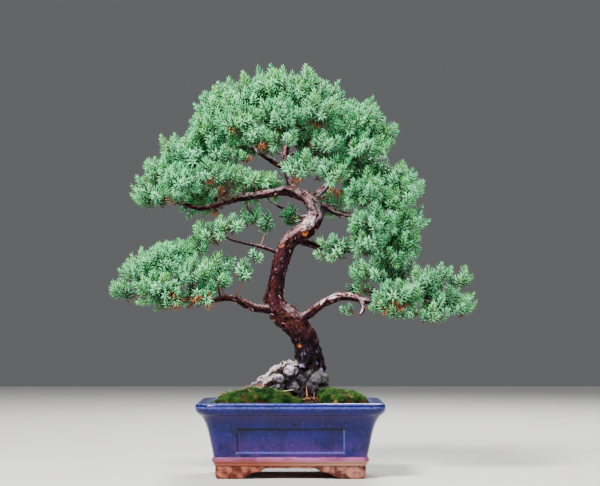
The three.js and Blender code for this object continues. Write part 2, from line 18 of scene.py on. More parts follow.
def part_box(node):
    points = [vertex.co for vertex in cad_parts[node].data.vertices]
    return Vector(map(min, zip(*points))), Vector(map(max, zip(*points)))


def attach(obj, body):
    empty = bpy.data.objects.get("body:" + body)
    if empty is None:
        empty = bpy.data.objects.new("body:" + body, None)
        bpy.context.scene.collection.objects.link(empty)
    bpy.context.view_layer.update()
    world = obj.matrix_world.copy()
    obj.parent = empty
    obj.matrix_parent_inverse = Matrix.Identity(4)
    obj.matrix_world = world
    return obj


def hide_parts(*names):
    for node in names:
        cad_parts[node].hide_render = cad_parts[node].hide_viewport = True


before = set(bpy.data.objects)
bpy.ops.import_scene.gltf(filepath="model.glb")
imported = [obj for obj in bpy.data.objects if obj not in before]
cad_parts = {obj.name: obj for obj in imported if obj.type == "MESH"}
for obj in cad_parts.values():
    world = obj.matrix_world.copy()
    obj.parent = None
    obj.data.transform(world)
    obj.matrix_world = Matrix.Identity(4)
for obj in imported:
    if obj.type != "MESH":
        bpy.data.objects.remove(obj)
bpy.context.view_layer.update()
MM = 0.001
pot_low, pot_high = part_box("pot")
POT_MIDDLE = Vector(((pot_low.x + pot_high.x) / 2, (pot_low.y + pot_high.y) / 2, 0))


def spot(x, y, z):
    """A place in metres, from millimetres measured from the middle of the pot's base."""
    return POT_MIDDLE + Vector((x, y, z)) * MM


def measured(point):
    """A place in millimetres from the middle of the pot's base, from a point in metres."""
    return (point - POT_MIDDLE) / MM


print("the packed model has", len(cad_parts), "nodes")

# %% [markdown]
# ## Camera
#
# The photograph was taken from far away with a long lens, at about twice the height of the pot and looking
# slightly up. A long lens keeps the pot's sides almost parallel, so the camera stands 1.6 m off.

# %% Camera
CAMERA_PLACE = (7.6, -1600, 130)
CAMERA_RISE = 2.16  # degrees above the level
camera = bpy.data.objects.new("camera", bpy.data.cameras.new("camera"))
camera.data.lens = 116.6
camera.data.sensor_width = 36
camera.location = spot(*CAMERA_PLACE)
camera.rotation_euler = (math.radians(90 + CAMERA_RISE), 0, 0)
bpy.context.scene.collection.objects.link(camera)
bpy.context.scene.camera = camera
print("camera at", [round(c, 3) for c in camera.location])

# %% [markdown]
# ## Shader helpers
#
# Every finish below is a small network of shader nodes. A few helpers keep the networks short: one adds a
# node and links its inputs, the others name what a network is mostly made of, such as noise, ranges, mixes
# and bumps. Patterns read the place on the object or an attribute of the mesh, never the view, so they stay
# where they are when the camera moves.


# %% Shader helpers
def connect(tree, kind, inputs=None, **settings):
    """Adds a shader node. Each input is a value to set, or another node's output to link."""
    made = tree.nodes.new("ShaderNode" + kind)
    for name, value in settings.items():
        setattr(made, name, value)
    for socket, value in (inputs or {}).items():
        if isinstance(value, bpy.types.NodeSocket):
            tree.links.new(value, made.inputs[socket])
        else:
            made.inputs[socket].default_value = value
    return made


def new_material(name, **values):
    """A material's tree and shader, with plain values set on the shader's own sockets."""
    made = bpy.data.materials.new(name)
    made.use_nodes = True
    shader = made.node_tree.nodes["Principled BSDF"]
    for socket, value in values.items():
        shader.inputs[socket.replace("_", " ")].default_value = value
    return made, made.node_tree, shader


def feed(tree, shader, **patterns):
    """Links a pattern to each of the shader's sockets that changes over the surface."""
    for socket, pattern in patterns.items():
        tree.links.new(pattern, shader.inputs[socket.replace("_", " ")])


def colour(red, green, blue):
    """A linear colour from the values that a screen shows, 0 to 255."""
    return (*[(c / 255) ** 2.2 for c in (red, green, blue)], 1)


def grainy(tree, place, size, detail=4.0):
    """A noise from 0 to 1 whose features are about size millimetres across."""
    inputs = {"Vector": place, "Scale": 1 / (size * MM), "Detail": detail}
    return connect(tree, "TexNoise", inputs).outputs[0]


def between(tree, value, low, high, to_low=0.0, to_high=1.0):
    """A value taken from one range to another and held at its ends."""
    ends = {"From Min": low, "From Max": high, "To Min": to_low, "To Max": to_high}
    return connect(tree, "MapRange", {"Value": value, **ends}).outputs[0]


def blend(tree, share, first, second):
    """Two colours mixed by a share of the second."""
    return connect(tree, "Mix", {0: share, 6: first, 7: second}, data_type="RGBA").outputs[2]


def times(tree, first, second, how="MULTIPLY"):
    """Two values multiplied, or worked on in another way."""
    return connect(tree, "Math", {0: first, 1: second}, operation=how).outputs[0]


def stripe(tree, height, *stops):
    """1 between the two inner ones of four heights in millimetres, fading to 0 at the outer ones."""
    starts, full, fades, ends = (stop * MM for stop in stops)
    return times(tree, between(tree, height, starts, full), between(tree, height, ends, fades))


def bumpy(tree, shader, height, depth, strength=1.0):
    """Gives a shader small relief, depth millimetres deep."""
    relief = {"Height": height, "Distance": depth * MM, "Strength": strength}
    tree.links.new(connect(tree, "Bump", relief).outputs[0], shader.inputs["Normal"])


def own_place(tree):
    """The place on the object itself."""
    return connect(tree, "TexCoord").outputs["Object"]


def coordinate(tree, place, axis):
    """One coordinate of a place."""
    return connect(tree, "SeparateXYZ", {0: place}).outputs[axis]


def parts_of(tree, packed):
    """The red, green and blue of a colour, which can carry three values."""
    return connect(tree, "SeparateColor", {0: packed}).outputs


def attribute(tree, name):
    """An attribute of the mesh, to read by its outputs."""
    return connect(tree, "Attribute", attribute_name=name).outputs


print("shader helpers are ready")

# %% [markdown]
# ## Mesh helpers
#
# Real surfaces are worn, grown and uneven. The helpers below do what every piece here needs. Four small ones
# keep a value in its range, make a ramp, draw a random vector and add up layers of noise. The others apply
# modifiers to a mesh, push its skin in and out by a formula, put many small copies of one shape into one
# mesh, and hand a finished piece over to the model's body.


# %% Number helpers
def held(value, low=0, high=1):
    """A value kept between two ends."""
    return min(high, max(low, value))


def rising(value, start, full):
    """0 up to a start, and from there up to 1, where it is full. It may also run downwards."""
    return held((value - start) / (full - start))


def scatter(draw, reach):
    """A vector whose three parts are each drawn within reach of 0."""
    return Vector([draw.uniform(-reach, reach) for _ in range(3)])


def uneven(place, *layers):
    """Layers of noise added up, each given as its height and its size in millimetres."""
    return sum(height * noise.noise(place / size) for height, size in layers)


print("number helpers are ready")


# %% Mesh helpers
def mesh_of(bm, name):
    """The mesh of a bmesh, which is then let go."""
    mesh = bpy.data.meshes.new(name)
    bm.to_mesh(mesh)
    bm.free()
    return mesh


def settled(mesh, *modifiers):
    """A mesh with modifiers applied, each given as its type and its settings."""
    holder = bpy.data.objects.new("holder", mesh)
    bpy.context.scene.collection.objects.link(holder)
    for kind, settings in modifiers:
        modifier = holder.modifiers.new(kind.lower(), kind)
        for name, value in settings.items():
            setattr(modifier, name, value)
    graph = bpy.context.evaluated_depsgraph_get()
    made = bpy.data.meshes.new_from_object(holder.evaluated_get(graph))
    bpy.data.objects.remove(holder)
    return made


def voxels(size, smoothing):
    """The modifiers that turn overlapping shapes into one even skin, smoothed a number of times."""
    remesh = ("REMESH", {"mode": "VOXEL", "voxel_size": size * MM})
    return remesh, ("SMOOTH", {"factor": 0.5, "iterations": smoothing})


def cone(bm, low, high, length, sides, place, **caps):
    """Adds a cone along Z with its middle put in place. Its radii and length are in millimetres."""
    sizes = {"radius1": low * MM, "radius2": high * MM, "depth": length * MM}
    bmesh.ops.create_cone(bm, cap_ends=True, segments=sides, matrix=place, **sizes, **caps)


def copy_of(node):
    """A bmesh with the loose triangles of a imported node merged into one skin."""
    bm = bmesh.new()
    bm.from_mesh(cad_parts[node].data)
    bmesh.ops.remove_doubles(bm, verts=bm.verts, dist=1e-6)
    return bm


def push(mesh, amount):
    """Moves each vertex along its normal by amount(place, normal), both in millimetres."""
    normals = [vertex.normal.copy() for vertex in mesh.vertices]
    for vertex, normal in zip(mesh.vertices, normals):
        place = measured(vertex.co)
        vertex.co += normal * (amount(place, normal) * MM)


def mark(mesh, name, values, kind="FLOAT", domain="POINT"):
    """Keeps a value, a vector or a colour for each vertex, corner or face as an attribute."""
    layer = mesh.attributes.new(name, kind, domain)
    key = {"FLOAT": "value", "FLOAT_COLOR": "color", "FLOAT_VECTOR": "vector"}[kind]
    layer.data.foreach_set(key, np.asarray(values, np.float32).ravel())


def gathered(name, copies):
    """One mesh made of many copies, each given as a mesh and the matrix that puts it in place."""
    bm = bmesh.new()
    for shape, place in copies:
        moved = shape.copy()
        moved.transform(place)
        bm.from_mesh(moved)
        bpy.data.meshes.remove(moved)
    return mesh_of(bm, name)


def turned(along, up=Vector((0, 0, 1))):
    """A turn that takes Z to a direction, and Y as near to another as it can be."""
    z = along.normalized()
    x = up.cross(z)
    x = x.normalized() if x.length > 1e-4 else z.orthogonal().normalized()
    return Matrix((x, z.cross(x), z)).transposed().to_4x4()


def finished(name, mesh, material, slot, *nodes):
    """Hands a piece over: it rides on the model's body and stands for some of its nodes."""
    mesh.materials.clear()
    mesh.materials.append(material)
    mesh.shade_smooth()
    piece = bpy.data.objects.new(name, mesh)
    bpy.context.scene.collection.objects.link(piece)
    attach(piece, "root")
    if nodes:
        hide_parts(*nodes)
    mesh.calc_loop_triangles()
    print(name, "has", len(mesh.loop_triangles), "triangles")


print("mesh helpers are ready")

# %% [markdown]
# ## Floor and light
#
# The floor is a plain pale sheet. The tree in the photograph is lit softly from above and a little from the
# left, so the strongest lamp is a soft one from the upper left. A weaker one fills the shadows from the
# right, and a third stands behind and above the tree and draws a thin rim of light along the needles.

# %% Floor
FLOOR_SIZE = 4000
material, tree, shader = new_material("pale_floor", Roughness=0.75)
tone = grainy(tree, own_place(tree), 60, 3)
feed(tree, shader, Base_Color=blend(tree, tone, colour(205, 204, 200), colour(212, 211, 207)))
bm = bmesh.new()
bmesh.ops.create_grid(bm, x_segments=1, y_segments=1, size=FLOOR_SIZE / 2 * MM)
floor = bpy.data.objects.new("floor", mesh_of(bm, "floor"))
floor.data.materials.append(material)
bpy.context.scene.collection.objects.link(floor)
print("floor is", FLOOR_SIZE, "mm wide")


# %% Lamps
def lamp(name, place, aim, size, power):
    """A square soft lamp at a place, aimed at another, both in millimetres."""
    data = bpy.data.lights.new(name, "AREA")
    data.size = size * MM
    data.energy = power
    made = bpy.data.objects.new(name, data)
    made.location = spot(*place)
    made.rotation_euler = (spot(*aim) - spot(*place)).to_track_quat("-Z", "Y").to_euler()
    bpy.context.scene.collection.objects.link(made)


TREE_HEART = (0, 0, 200)
lamp("sky_left", (-500, -1000, 1150), TREE_HEART, 420, 68)
lamp("fill_right", (1100, -1000, 450), TREE_HEART, 900, 7)
lamp("rim_behind", (250, 900, 1000), TREE_HEART, 500, 24)
world = bpy.data.worlds.new("pale_room")
world.use_nodes = True
background = world.node_tree.nodes["Background"]
background.inputs["Color"].default_value = colour(225, 227, 230)
background.inputs["Strength"].default_value = 0.17
bpy.context.scene.world = world
print("three lamps and a pale room")

# %% [markdown]
# ## The pot
#
# The pot is a rectangle with round corners whose wall flares up into a rolled lip. It could be modelled as a
# box with loops pushed about by hand. Here its section is a short list of heights and insets instead, as a
# potter's template would be: an outline is drawn at each height and each is bridged to the next. An outline
# starts as a plain rectangle whose four corners are bevelled into arcs.

# %% The pot's section
RIM = (76, 59)  # half of the rim's length and depth
RIM_CORNER = 13
LEAST_CORNER = 4.5
CORNER_STEPS = 8
STRAIGHT_CUTS = (15, 11)  # extra points on the long and the short sides, for the slight waves of the wall
# [height, distance in from the rim], from the underside up to the lip and down inside to the floor
POT_SECTION = [
    (10.5, 15.4),
    (11.4, 14.7),
    (12.6, 14.5),
    (13.6, 13.5),
    (15, 13.1),
    (16.4, 13.3),
    (17.4, 14.2),
    (19, 14),
    (27, 12.4),
    (36, 10.6),
    (42, 9),
    (47, 6.8),
    (50.5, 4.4),
    (52.5, 1.9),
    (55, 0.3),
    (58.5, 0.2),
    (60.2, 1.1),
    (61, 3),
    (61.1, 7),
    (60.6, 10.4),
    (58.5, 12),
    (50, 12.6),
    (35, 17.5),
    (20, 20.2),
    (17, 22),
]


def smooth_route(points, steps):
    """A smooth line through points of any number of values, with steps stops from each to the next."""
    rows = np.array(points, float)
    rows = np.vstack([2 * rows[0] - rows[1], rows, 2 * rows[-1] - rows[-2]])
    stops = []
    for a, b, c, d in zip(rows, rows[1:], rows[2:], rows[3:]):
        for t in np.arange(steps) / steps:
            bend = (2 * a - 5 * b + 4 * c - d) * t**2 + (3 * b - a - 3 * c + d) * t**3
            stops.append(b + 0.5 * ((c - a) * t + bend))
    return np.array([*stops, rows[-2]])


def outline(bm, height, inset):
    """The edges of a rectangle with round corners."""
    half = (RIM[0] - inset, RIM[1] - inset)
    radius = max(LEAST_CORNER, RIM_CORNER - inset / 2)
    signs = ((1, 1), (-1, 1), (-1, -1), (1, -1))
    corners = [bm.verts.new(spot(x * half[0], y * half[1], height)) for x, y in signs]
    bm.faces.new(corners)
    arc = {"offset_type": "ABSOLUTE", "offset": radius * MM, "segments": CORNER_STEPS}
    bmesh.ops.bevel(bm, geom=corners, affect="VERTICES", profile=0.5, material=-1, **arc)
    bm.verts.ensure_lookup_table()
    face = bm.verts[-1].link_faces[0]
    edges = set(face.edges)
    bmesh.ops.delete(bm, geom=[face], context="FACES_ONLY")
    for axis, cuts in enumerate(STRAIGHT_CUTS):
        least = (half[axis] - radius) * MM
        long = [e for e in edges if abs(e.verts[0].co[axis] - e.verts[1].co[axis]) > least]
        split = bmesh.ops.subdivide_edges(bm, edges=long, cuts=cuts)["geom"]
        edges |= {part for part in split if isinstance(part, bmesh.types.BMEdge)}
    return list(edges)


bm = bmesh.new()
rings = [outline(bm, height, inset) for height, inset in smooth_route(POT_SECTION, 3)]
for lower, upper in zip(rings, rings[1:]):
    bmesh.ops.bridge_loops(bm, edges=lower + upper)
bmesh.ops.holes_fill(bm, edges=rings[0] + rings[-1], sides=0)
bmesh.ops.recalc_face_normals(bm, faces=bm.faces)
print("the pot's skin has", len(bm.faces), "faces from", len(rings), "outlines")

# %% [markdown]
# A shallow panel is pressed into each of the four walls. Two cuts, side by side, go round each panel, and
# what lies inside the inner cut moves into the wall. The strip between the cuts becomes the panel's slanted
# edge, which catches a line of light below and holds a dark line above, as in the photograph; the glaze
# adds a painted highlight below and painted shade above.

# %% The pressed panels
PANEL_HALF = (43.5, 28)  # on the long and the short sides
PANEL_HEIGHTS = (20.4, 41.2)
PANEL_DEPTH = 1.7
PANEL_SLANT = 1.5
OUTER_WALL = (61, 44)  # what lies further out than this is the outside of the wall
CUT_HEIGHTS = (16, 44)  # a face is cut where its middle lies between these


def cut(bm, axis, place):
    """Cuts the outside of the wall across, at a place along an axis."""
    outside = []
    for face in bm.faces:
        middle = measured(face.calc_center_median())
        on_wall = any(abs(middle[i]) > OUTER_WALL[i] for i in (0, 1))
        if on_wall and CUT_HEIGHTS[0] < middle.z < CUT_HEIGHTS[1]:
            outside.append(face)
    geometry = {part for face in outside for part in (face, *face.edges, *face.verts)}
    point, direction = [0, 0, 0], [0, 0, 0]
    point[axis], direction[axis] = place, 1
    bmesh.ops.bisect_plane(bm, geom=list(geometry), plane_co=spot(*point), plane_no=direction, dist=1e-6)


for slant in (0, PANEL_SLANT):
    cut(bm, 2, PANEL_HEIGHTS[0] + slant)
    cut(bm, 2, PANEL_HEIGHTS[1] - slant)
    for axis in (0, 1):
        for side in (-1, 1):
            cut(bm, axis, side * (PANEL_HALF[axis] - slant))
inner_cut = 0.9 * PANEL_SLANT  # a little less than the slant, so that the inner cut itself moves too
for vertex in bm.verts:
    place = measured(vertex.co)
    inside = PANEL_HEIGHTS[0] + inner_cut < place.z < PANEL_HEIGHTS[1] - inner_cut
    for across, along in ((1, 0), (0, 1)):
        on_wall = abs(place[across]) > OUTER_WALL[across]
        if inside and on_wall and abs(place[along]) < PANEL_HALF[along] - inner_cut:
            vertex.co[across] -= math.copysign(PANEL_DEPTH * MM, place[across])
print("four panels pressed", PANEL_DEPTH, "mm deep")

# %% [markdown]
# The glaze is a deep cobalt blue. It pools and drifts into purple below the lip and low on the wall, carries
# small navy and white specks, and stops at an uneven line above the foot, where bare clay shows mauve. One
# network paints all of this: slow noise drifts the blues, thresholds on the height make the bands, and the
# cells of a Voronoi texture make the specks. The shader is smooth with a clear coat, for the lines of light.


# %% The glaze
def specks(tree, place, spacing, size, share):
    """Dots of a size on a share of the cells of a grid, all in millimetres."""
    cells = connect(tree, "TexVoronoi", {"Vector": place, "Scale": 1 / (spacing * MM)})
    near = between(tree, cells.outputs["Distance"], 0.6 * size / spacing, 0.4 * size / spacing)
    chance = parts_of(tree, cells.outputs["Color"])[0]
    return times(tree, near, between(tree, chance, share, share - 0.02))


gloss = {"Coat_Weight": 0.22, "Coat_Roughness": 0.06, "Specular_IOR_Level": 0.2}
glaze, tree, shader = new_material("cobalt_glaze", **gloss)
place = own_place(tree)
height = coordinate(tree, place, 2)
drift = grainy(tree, place, 22, 5)
fine = grainy(tree, place, 2.2, 3)
body = blend(tree, between(tree, drift, 0.35, 0.65), colour(4, 5, 54), colour(12, 14, 85))
body = blend(tree, times(tree, stripe(tree, height, 43, 50, 51, 54), 0.6), body, colour(42, 20, 72))
low_wall = between(tree, height, 36 * MM, 21 * MM)
low_purple = times(tree, low_wall, between(tree, grainy(tree, place, 24), 0.4, 0.55))
body = blend(tree, times(tree, low_purple, 0.75), body, colour(62, 28, 88))
body = blend(tree, times(tree, between(tree, fine, 0.55, 0.8), 0.25), body, colour(56, 66, 150))
body = blend(tree, specks(tree, place, 8, 1.9, 0.5), body, colour(2, 2, 14))
body = blend(tree, specks(tree, place, 9, 0.55, 0.3), body, colour(150, 156, 200))
# two painted highlight lines along the lip, where the glaze also runs a little thin
upper = stripe(tree, height, 59.4, 60.1, 60.6, 61.2)
lower = stripe(tree, height, 56.3, 57.2, 57.8, 58.6)
thin = times(tree, blend(tree, 0.4, upper, lower), between(tree, fine, 0.3, 0.6, 0.4, 1.3))
body = blend(tree, times(tree, thin, 0.6), body, colour(126, 136, 212))
# painted shade and painted highlights along the panels' edges
panel = attribute(tree, "panel")["Fac"]
body = blend(tree, between(tree, panel, 0, -1, 0, 0.85), body, colour(3, 3, 22))
body = blend(tree, times(tree, between(tree, panel, 0, 1), fine), body, colour(92, 96, 178))
# the uneven line where the glaze ends, and the mauve band and raw clay below it
wobble = times(tree, grainy(tree, place, 9, 3), 2.2 * MM)
level = times(tree, height, wobble, "SUBTRACT")
bare = between(tree, level, 16.8 * MM, 16.2 * MM)
mauve = blend(tree, between(tree, drift, 0.4, 0.6), colour(96, 45, 70), colour(142, 76, 118))
side = coordinate(tree, place, 0)
raw = blend(tree, between(tree, side, -0.03, 0.04), colour(126, 62, 44), colour(150, 106, 88))
band = blend(tree, between(tree, level, 14.2 * MM, 12.6 * MM), mauve, raw)
feed(tree, shader, Base_Color=blend(tree, bare, body, band), Roughness=between(tree, bare, 0, 1, 0.2, 0.5))
bumpy(tree, shader, blend(tree, 0.3, drift, fine), 0.5, 0.35)

# %% The pot's body
DRAINS = 30  # each drain hole's distance from the middle
DRAIN_RADIUS = 7
cutter = bmesh.new()
for side in (-1, 1):
    through_floor = Matrix.Translation(spot(side * DRAINS, 0, 13))
    cone(cutter, DRAIN_RADIUS, DRAIN_RADIUS, 20, 32, through_floor)
drill = bpy.data.objects.new("drill", mesh_of(cutter, "drill"))
bpy.context.scene.collection.objects.link(drill)
pot_mesh = mesh_of(bm, "pot_glazed")
push(pot_mesh, lambda place, normal: uneven(place, (0.16, 17), (0.05, 5)))
pot_mesh = settled(
    pot_mesh,
    ("BOOLEAN", {"operation": "DIFFERENCE", "object": drill, "solver": "EXACT"}),
    ("BEVEL", {"width": 0.3 * MM, "segments": 2, "limit_method": "ANGLE", "angle_limit": math.radians(30)}),
    ("WEIGHTED_NORMAL", {"keep_sharp": True}),
)
bpy.data.objects.remove(drill)


def panel_edge_painted_light(place):
    """Painted light on a panel's edge: below 0 for painted shade, above 0 for a painted highlight."""
    low, high = PANEL_HEIGHTS
    for across, along in ((1, 0), (0, 1)):
        away = PANEL_HALF[along] - abs(place[along])
        if abs(place[across]) > OUTER_WALL[across] and away > 0 and low < place.z < high:
            # painted shade on the top edge, a painted highlight on the bottom edge, and on the upright edges a
            # highlight on one and shade on the other
            if high - place.z < PANEL_SLANT:
                return -1
            if place.z - low < PANEL_SLANT:
                return 0.8
            return (0.6 if place[along] > 0 else -0.4) if away < PANEL_SLANT else 0
    return 0


panel_edges = [panel_edge_painted_light(measured(face.center)) for face in pot_mesh.polygons]
mark(pot_mesh, "panel", panel_edges, domain="FACE")
finished("pot_glazed", pot_mesh, glaze, "glaze", "pot")

# %% [markdown]
# The four feet are cloud-shaped stubs of the same clay, left bare and fired to a warm brown. Their plain
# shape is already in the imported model, so this piece starts from a copy of it. Turning the copy into voxels
# and back rounds every edge as a wet sponge would, and a little noise gives the handled look. Its top sinks
# into the pot, because foot and pot are one clay.

# %% The feet
clay, tree, shader = new_material("bare_clay", Specular_IOR_Level=0.2)
place = own_place(tree)
blotch = grainy(tree, place, 6, 5)
grain = grainy(tree, place, 0.9, 3)
side = coordinate(tree, place, 0)
warm = blend(tree, between(tree, blotch, 0.38, 0.6), colour(74, 30, 19), colour(143, 82, 66))
pale = blend(tree, between(tree, blotch, 0.42, 0.58), colour(66, 34, 27), colour(150, 98, 86))
pink = blend(tree, between(tree, side, -0.01, 0.04), warm, pale)
dark = blend(tree, times(tree, between(tree, grain, 0.5, 0.72), 0.5), pink, colour(58, 22, 12))
feed(tree, shader, Base_Color=dark, Roughness=between(tree, grain, 0.3, 0.7, 0.55, 0.85))
bumpy(tree, shader, grain, 0.35, 0.7)
FEET_SUNK = 0.9  # how far the feet's top is raised into the pot
feet = copy_of("pot_feet")
top = max(vertex.co.z for vertex in feet.verts)
for vertex in feet.verts:
    if vertex.co.z > top - MM:
        vertex.co.z += FEET_SUNK * MM
feet_mesh = settled(mesh_of(feet, "pot_feet_clay"), *voxels(1, 5))
push(feet_mesh, lambda place, normal: uneven(place, (0.12, 3)) * min(1, place.z))
finished("pot_feet_clay", feet_mesh, clay, "clay", "pot_feet")

# %% [markdown]
# Two squares of plastic mesh lie over the drain holes and keep the soil in. They are out of sight under it,
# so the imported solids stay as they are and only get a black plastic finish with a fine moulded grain.

# %% The drain screens
plastic, tree, shader = new_material("black_mesh", Roughness=0.5)
grain = grainy(tree, own_place(tree), 0.5, 2)
feed(tree, shader, Base_Color=blend(tree, grain, colour(16, 18, 17), colour(34, 37, 35)))
bumpy(tree, shader, grain, 0.1, 0.4)
for name in ("drain_screen_left", "drain_screen_right"):
    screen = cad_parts[name]
    screen.data.materials.clear()
    screen.data.materials.append(plastic)
print("two drain screens")

# %% [markdown]
# ## Soil and grit
#
# The soil is a dark mix of bark crumbs and grit, domed towards the trunk. Its block is copied from the packed
# model and turned into voxels, so that it has enough points for crumbs, and noise roughens its top. The
# coarsest grains are modelled one by one: a ball of twenty faces, squashed and turned at random, is enough
# for a grain of a millimetre.

# %% Soil
soil_finish, tree, shader = new_material("potting_mix", Roughness=0.95, Specular_IOR_Level=0.1)
place = own_place(tree)
crumbs = grainy(tree, place, 1.6, 5)
damp = grainy(tree, place, 14, 3)
dark = blend(tree, between(tree, crumbs, 0.35, 0.65), colour(8, 5, 3), colour(58, 38, 26))
light = blend(tree, times(tree, between(tree, crumbs, 0.66, 0.74), 0.6), dark, colour(124, 96, 70))
feed(tree, shader, Base_Color=blend(tree, between(tree, damp, 0.4, 0.7, 0, 0.5), light, colour(14, 10, 6)))
bumpy(tree, shader, crumbs, 0.6)


def crumbly(place, normal):
    """How far the top of the soil stands out at a place."""
    if normal.z < 0.4:
        return 0
    return 0.9 * noise.fractal(place / 4, 0.8, 2, 4) + uneven(place, (0.5, 1.7))


soil_mesh = settled(mesh_of(copy_of("soil"), "potting_soil"), *voxels(1.5, 1))
push(soil_mesh, crumbly)
finished("potting_soil", soil_mesh, soil_finish, "soil", "soil")

# %% Grit
GRAINS = 900
GRIT_LEVEL = 55  # grains lie on the soil above this height
draw = random.Random(5)
grain = bmesh.new()
bmesh.ops.create_icosphere(grain, subdivisions=1, radius=MM)
for vertex in grain.verts:
    vertex.co *= 1 + 0.3 * noise.noise(vertex.co / MM * 1.7)
grain = mesh_of(grain, "grain")
tops = [v.co.copy() for v in soil_mesh.vertices if v.normal.z > 0.6 and v.co.z > GRIT_LEVEL * MM]
copies = []
for _ in range(GRAINS):
    size = Vector([draw.uniform(0.35, 1.1) for _ in range(3)])
    turn = turned(scatter(draw, 1))
    copies.append((grain, Matrix.Translation(draw.choice(tops)) @ turn @ Matrix.Diagonal((*size, 1))))
grit_mesh = gathered("soil_grit", copies)
tones = np.repeat([draw.random() for _ in copies], len(grain.vertices))
mark(grit_mesh, "tone", tones)
grit, tree, shader = new_material("grit", Roughness=0.9)
tone = attribute(tree, "tone")["Fac"]
speck = grainy(tree, own_place(tree), 0.5, 2)
browns = blend(tree, between(tree, tone, 0, 0.7), colour(12, 7, 4), colour(84, 54, 34))
stony = blend(tree, between(tree, tone, 0.8, 0.9), browns, colour(140, 124, 106))
feed(tree, shader, Base_Color=blend(tree, times(tree, speck, 0.5), stony, colour(60, 48, 38)))
finished("soil_grit", grit_mesh, grit, "soil")

# %% [markdown]
# ## The stone
#
# The roots clasp a knobbly stone, or rather a clump of knobs: two are pale and almost lavender, the one on
# the right is crusted with grey-green lichen, and the rest are brown and in shadow. Each knob starts as a
# ball. Voxels melt the balls into one body with soft creases, and noise of several sizes roughens it. Which
# knob a point belongs to is kept as a colour on the mesh, so that the finish can follow the knobs. The same
# colour carries a painted highlight on the pale knobs where they face up, and painted shade in the creases
# between the knobs.

# %% Stone
# each knob is x, y, z, radius in millimetres, then how pale and how mossy it is
KNOBS = [
    (22.5, -12.5, 78, 8.8, 0.3, 0.8),
    (16, -12, 81, 5.5, 0.25, 0.9),
    (5, -11, 75, 10, 0.1, 0.15),
    (0.2, -14.5, 84, 6.2, 0.95, 0),
    (-9, -16, 78, 6, 0.95, 0),
    (-8.5, -16.5, 71.5, 6.6, 0.45, 0),
    (-3, -13.5, 78, 6.5, 0.35, 0),
    (-25, -11, 69.5, 8, 0.1, 0.1),
    (9, -14, 66, 10, 0, 0.3),
    (13, -9, 78, 7, 0, 0.1),
    (2, -15, 72, 8.5, 0.2, 0.1),
    (16, -15, 71, 7.5, 0.1, 0.7),
    (25, -13, 68.5, 8, 0.1, 0.6),
    (-33, -13, 63.5, 6, 0, 0),
]
bm = bmesh.new()
draw = random.Random(6)
for x, y, z, radius, *_ in KNOBS:
    turn = turned(scatter(draw, 1))
    squash = Matrix.Diagonal((draw.uniform(0.82, 1), draw.uniform(0.85, 1.05), draw.uniform(1, 1.12), 1))
    shape = Matrix.Translation(spot(x, y, z)) @ turn @ squash
    bmesh.ops.create_icosphere(bm, subdivisions=4, radius=radius * MM, matrix=shape)
stone_mesh = settled(mesh_of(bm, "stone_knobs"), *voxels(0.65, 6))


def nearest_knobs(place):
    """How far a place lies outside each knob, and that knob, with the nearest first."""
    return sorted(((place - Vector(knob[:3])).length - knob[3], knob) for knob in KNOBS)


def pitted(place, normal):
    """How far the stone's skin stands out at a place."""
    smooth = nearest_knobs(place)[0][1][4]
    lumps = uneven(place, (1.8, 6), (0.8, 2.6), (0.4, 1.2))
    pits = -2.2 * max(0, noise.noise(place / 2.2 + Vector((9, 0, 0))) - 0.2)
    return (lumps + pits) * (1 - 0.55 * smooth)


push(stone_mesh, pitted)
knob_tones = []
for vertex in stone_mesh.vertices:
    (_, knob), (crease, _) = nearest_knobs(measured(vertex.co))[:2]
    # the first value makes pale knobs lighter where they face up, a painted highlight; the third, near a
    # crease, carries painted shade
    up = held(0.5 + 0.65 * vertex.normal.z, 0.2)
    knob_tones.append((knob[4] * up, knob[5], held(1 - crease / 1.8), 1))
mark(stone_mesh, "knob", knob_tones, "FLOAT_COLOR")
print("the stone has", len(KNOBS), "knobs")

# %% Stone finish
stone_finish, tree, shader = new_material("crusted_stone", Roughness=0.85, Specular_IOR_Level=0.15)
place = own_place(tree)
knob = parts_of(tree, attribute(tree, "knob")["Color"])
mottle = grainy(tree, place, 5, 5)
fine = grainy(tree, place, 1.1, 4)
base = blend(tree, between(tree, mottle, 0.38, 0.68), colour(6, 4, 5), colour(45, 36, 39))
pale = blend(tree, between(tree, mottle, 0.36, 0.56), colour(74, 60, 70), colour(222, 206, 220))
# pale knobs: their own pale lavender, with a painted highlight where they face up
lit = times(tree, between(tree, grainy(tree, place, 4, 3), 0.3, 0.46), knob[0])
stony = blend(tree, lit, base, pale)
crust = blend(tree, between(tree, fine, 0.42, 0.62), colour(17, 18, 18), colour(116, 114, 113))
crusted = times(tree, between(tree, grainy(tree, place, 3.5, 4), 0.42, 0.55), knob[1])
stony = blend(tree, crusted, stony, crust)
# painted shade in the creases between the knobs
crease_shade = between(tree, times(tree, knob[2], between(tree, fine, 0.2, 0.5)), 0, 0.7)
stony = blend(tree, crease_shade, stony, colour(5, 3, 3))
rough = times(tree, between(tree, fine, 0.52, 0.62), between(tree, knob[0], 0, 0.9, 0.75, 0))
stony = blend(tree, rough, stony, colour(14, 9, 9))
feed(tree, shader, Base_Color=stony)
bumpy(tree, shader, fine, 0.9, 0.9)
finished("stone_knobs", stone_mesh, stone_finish, "stone", "stone")

# %% [markdown]
# ## Moss
#
# Three cushions of bright moss lie on the soil, and each is a few round mounds grown together. The mounds
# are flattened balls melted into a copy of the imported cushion. Real moss is a fur of tiny leafy stems, so
# thousands of tufts stand on the mounds: each is a star of five narrow cones, a few faces in all, and the
# tips are lighter than the bed.

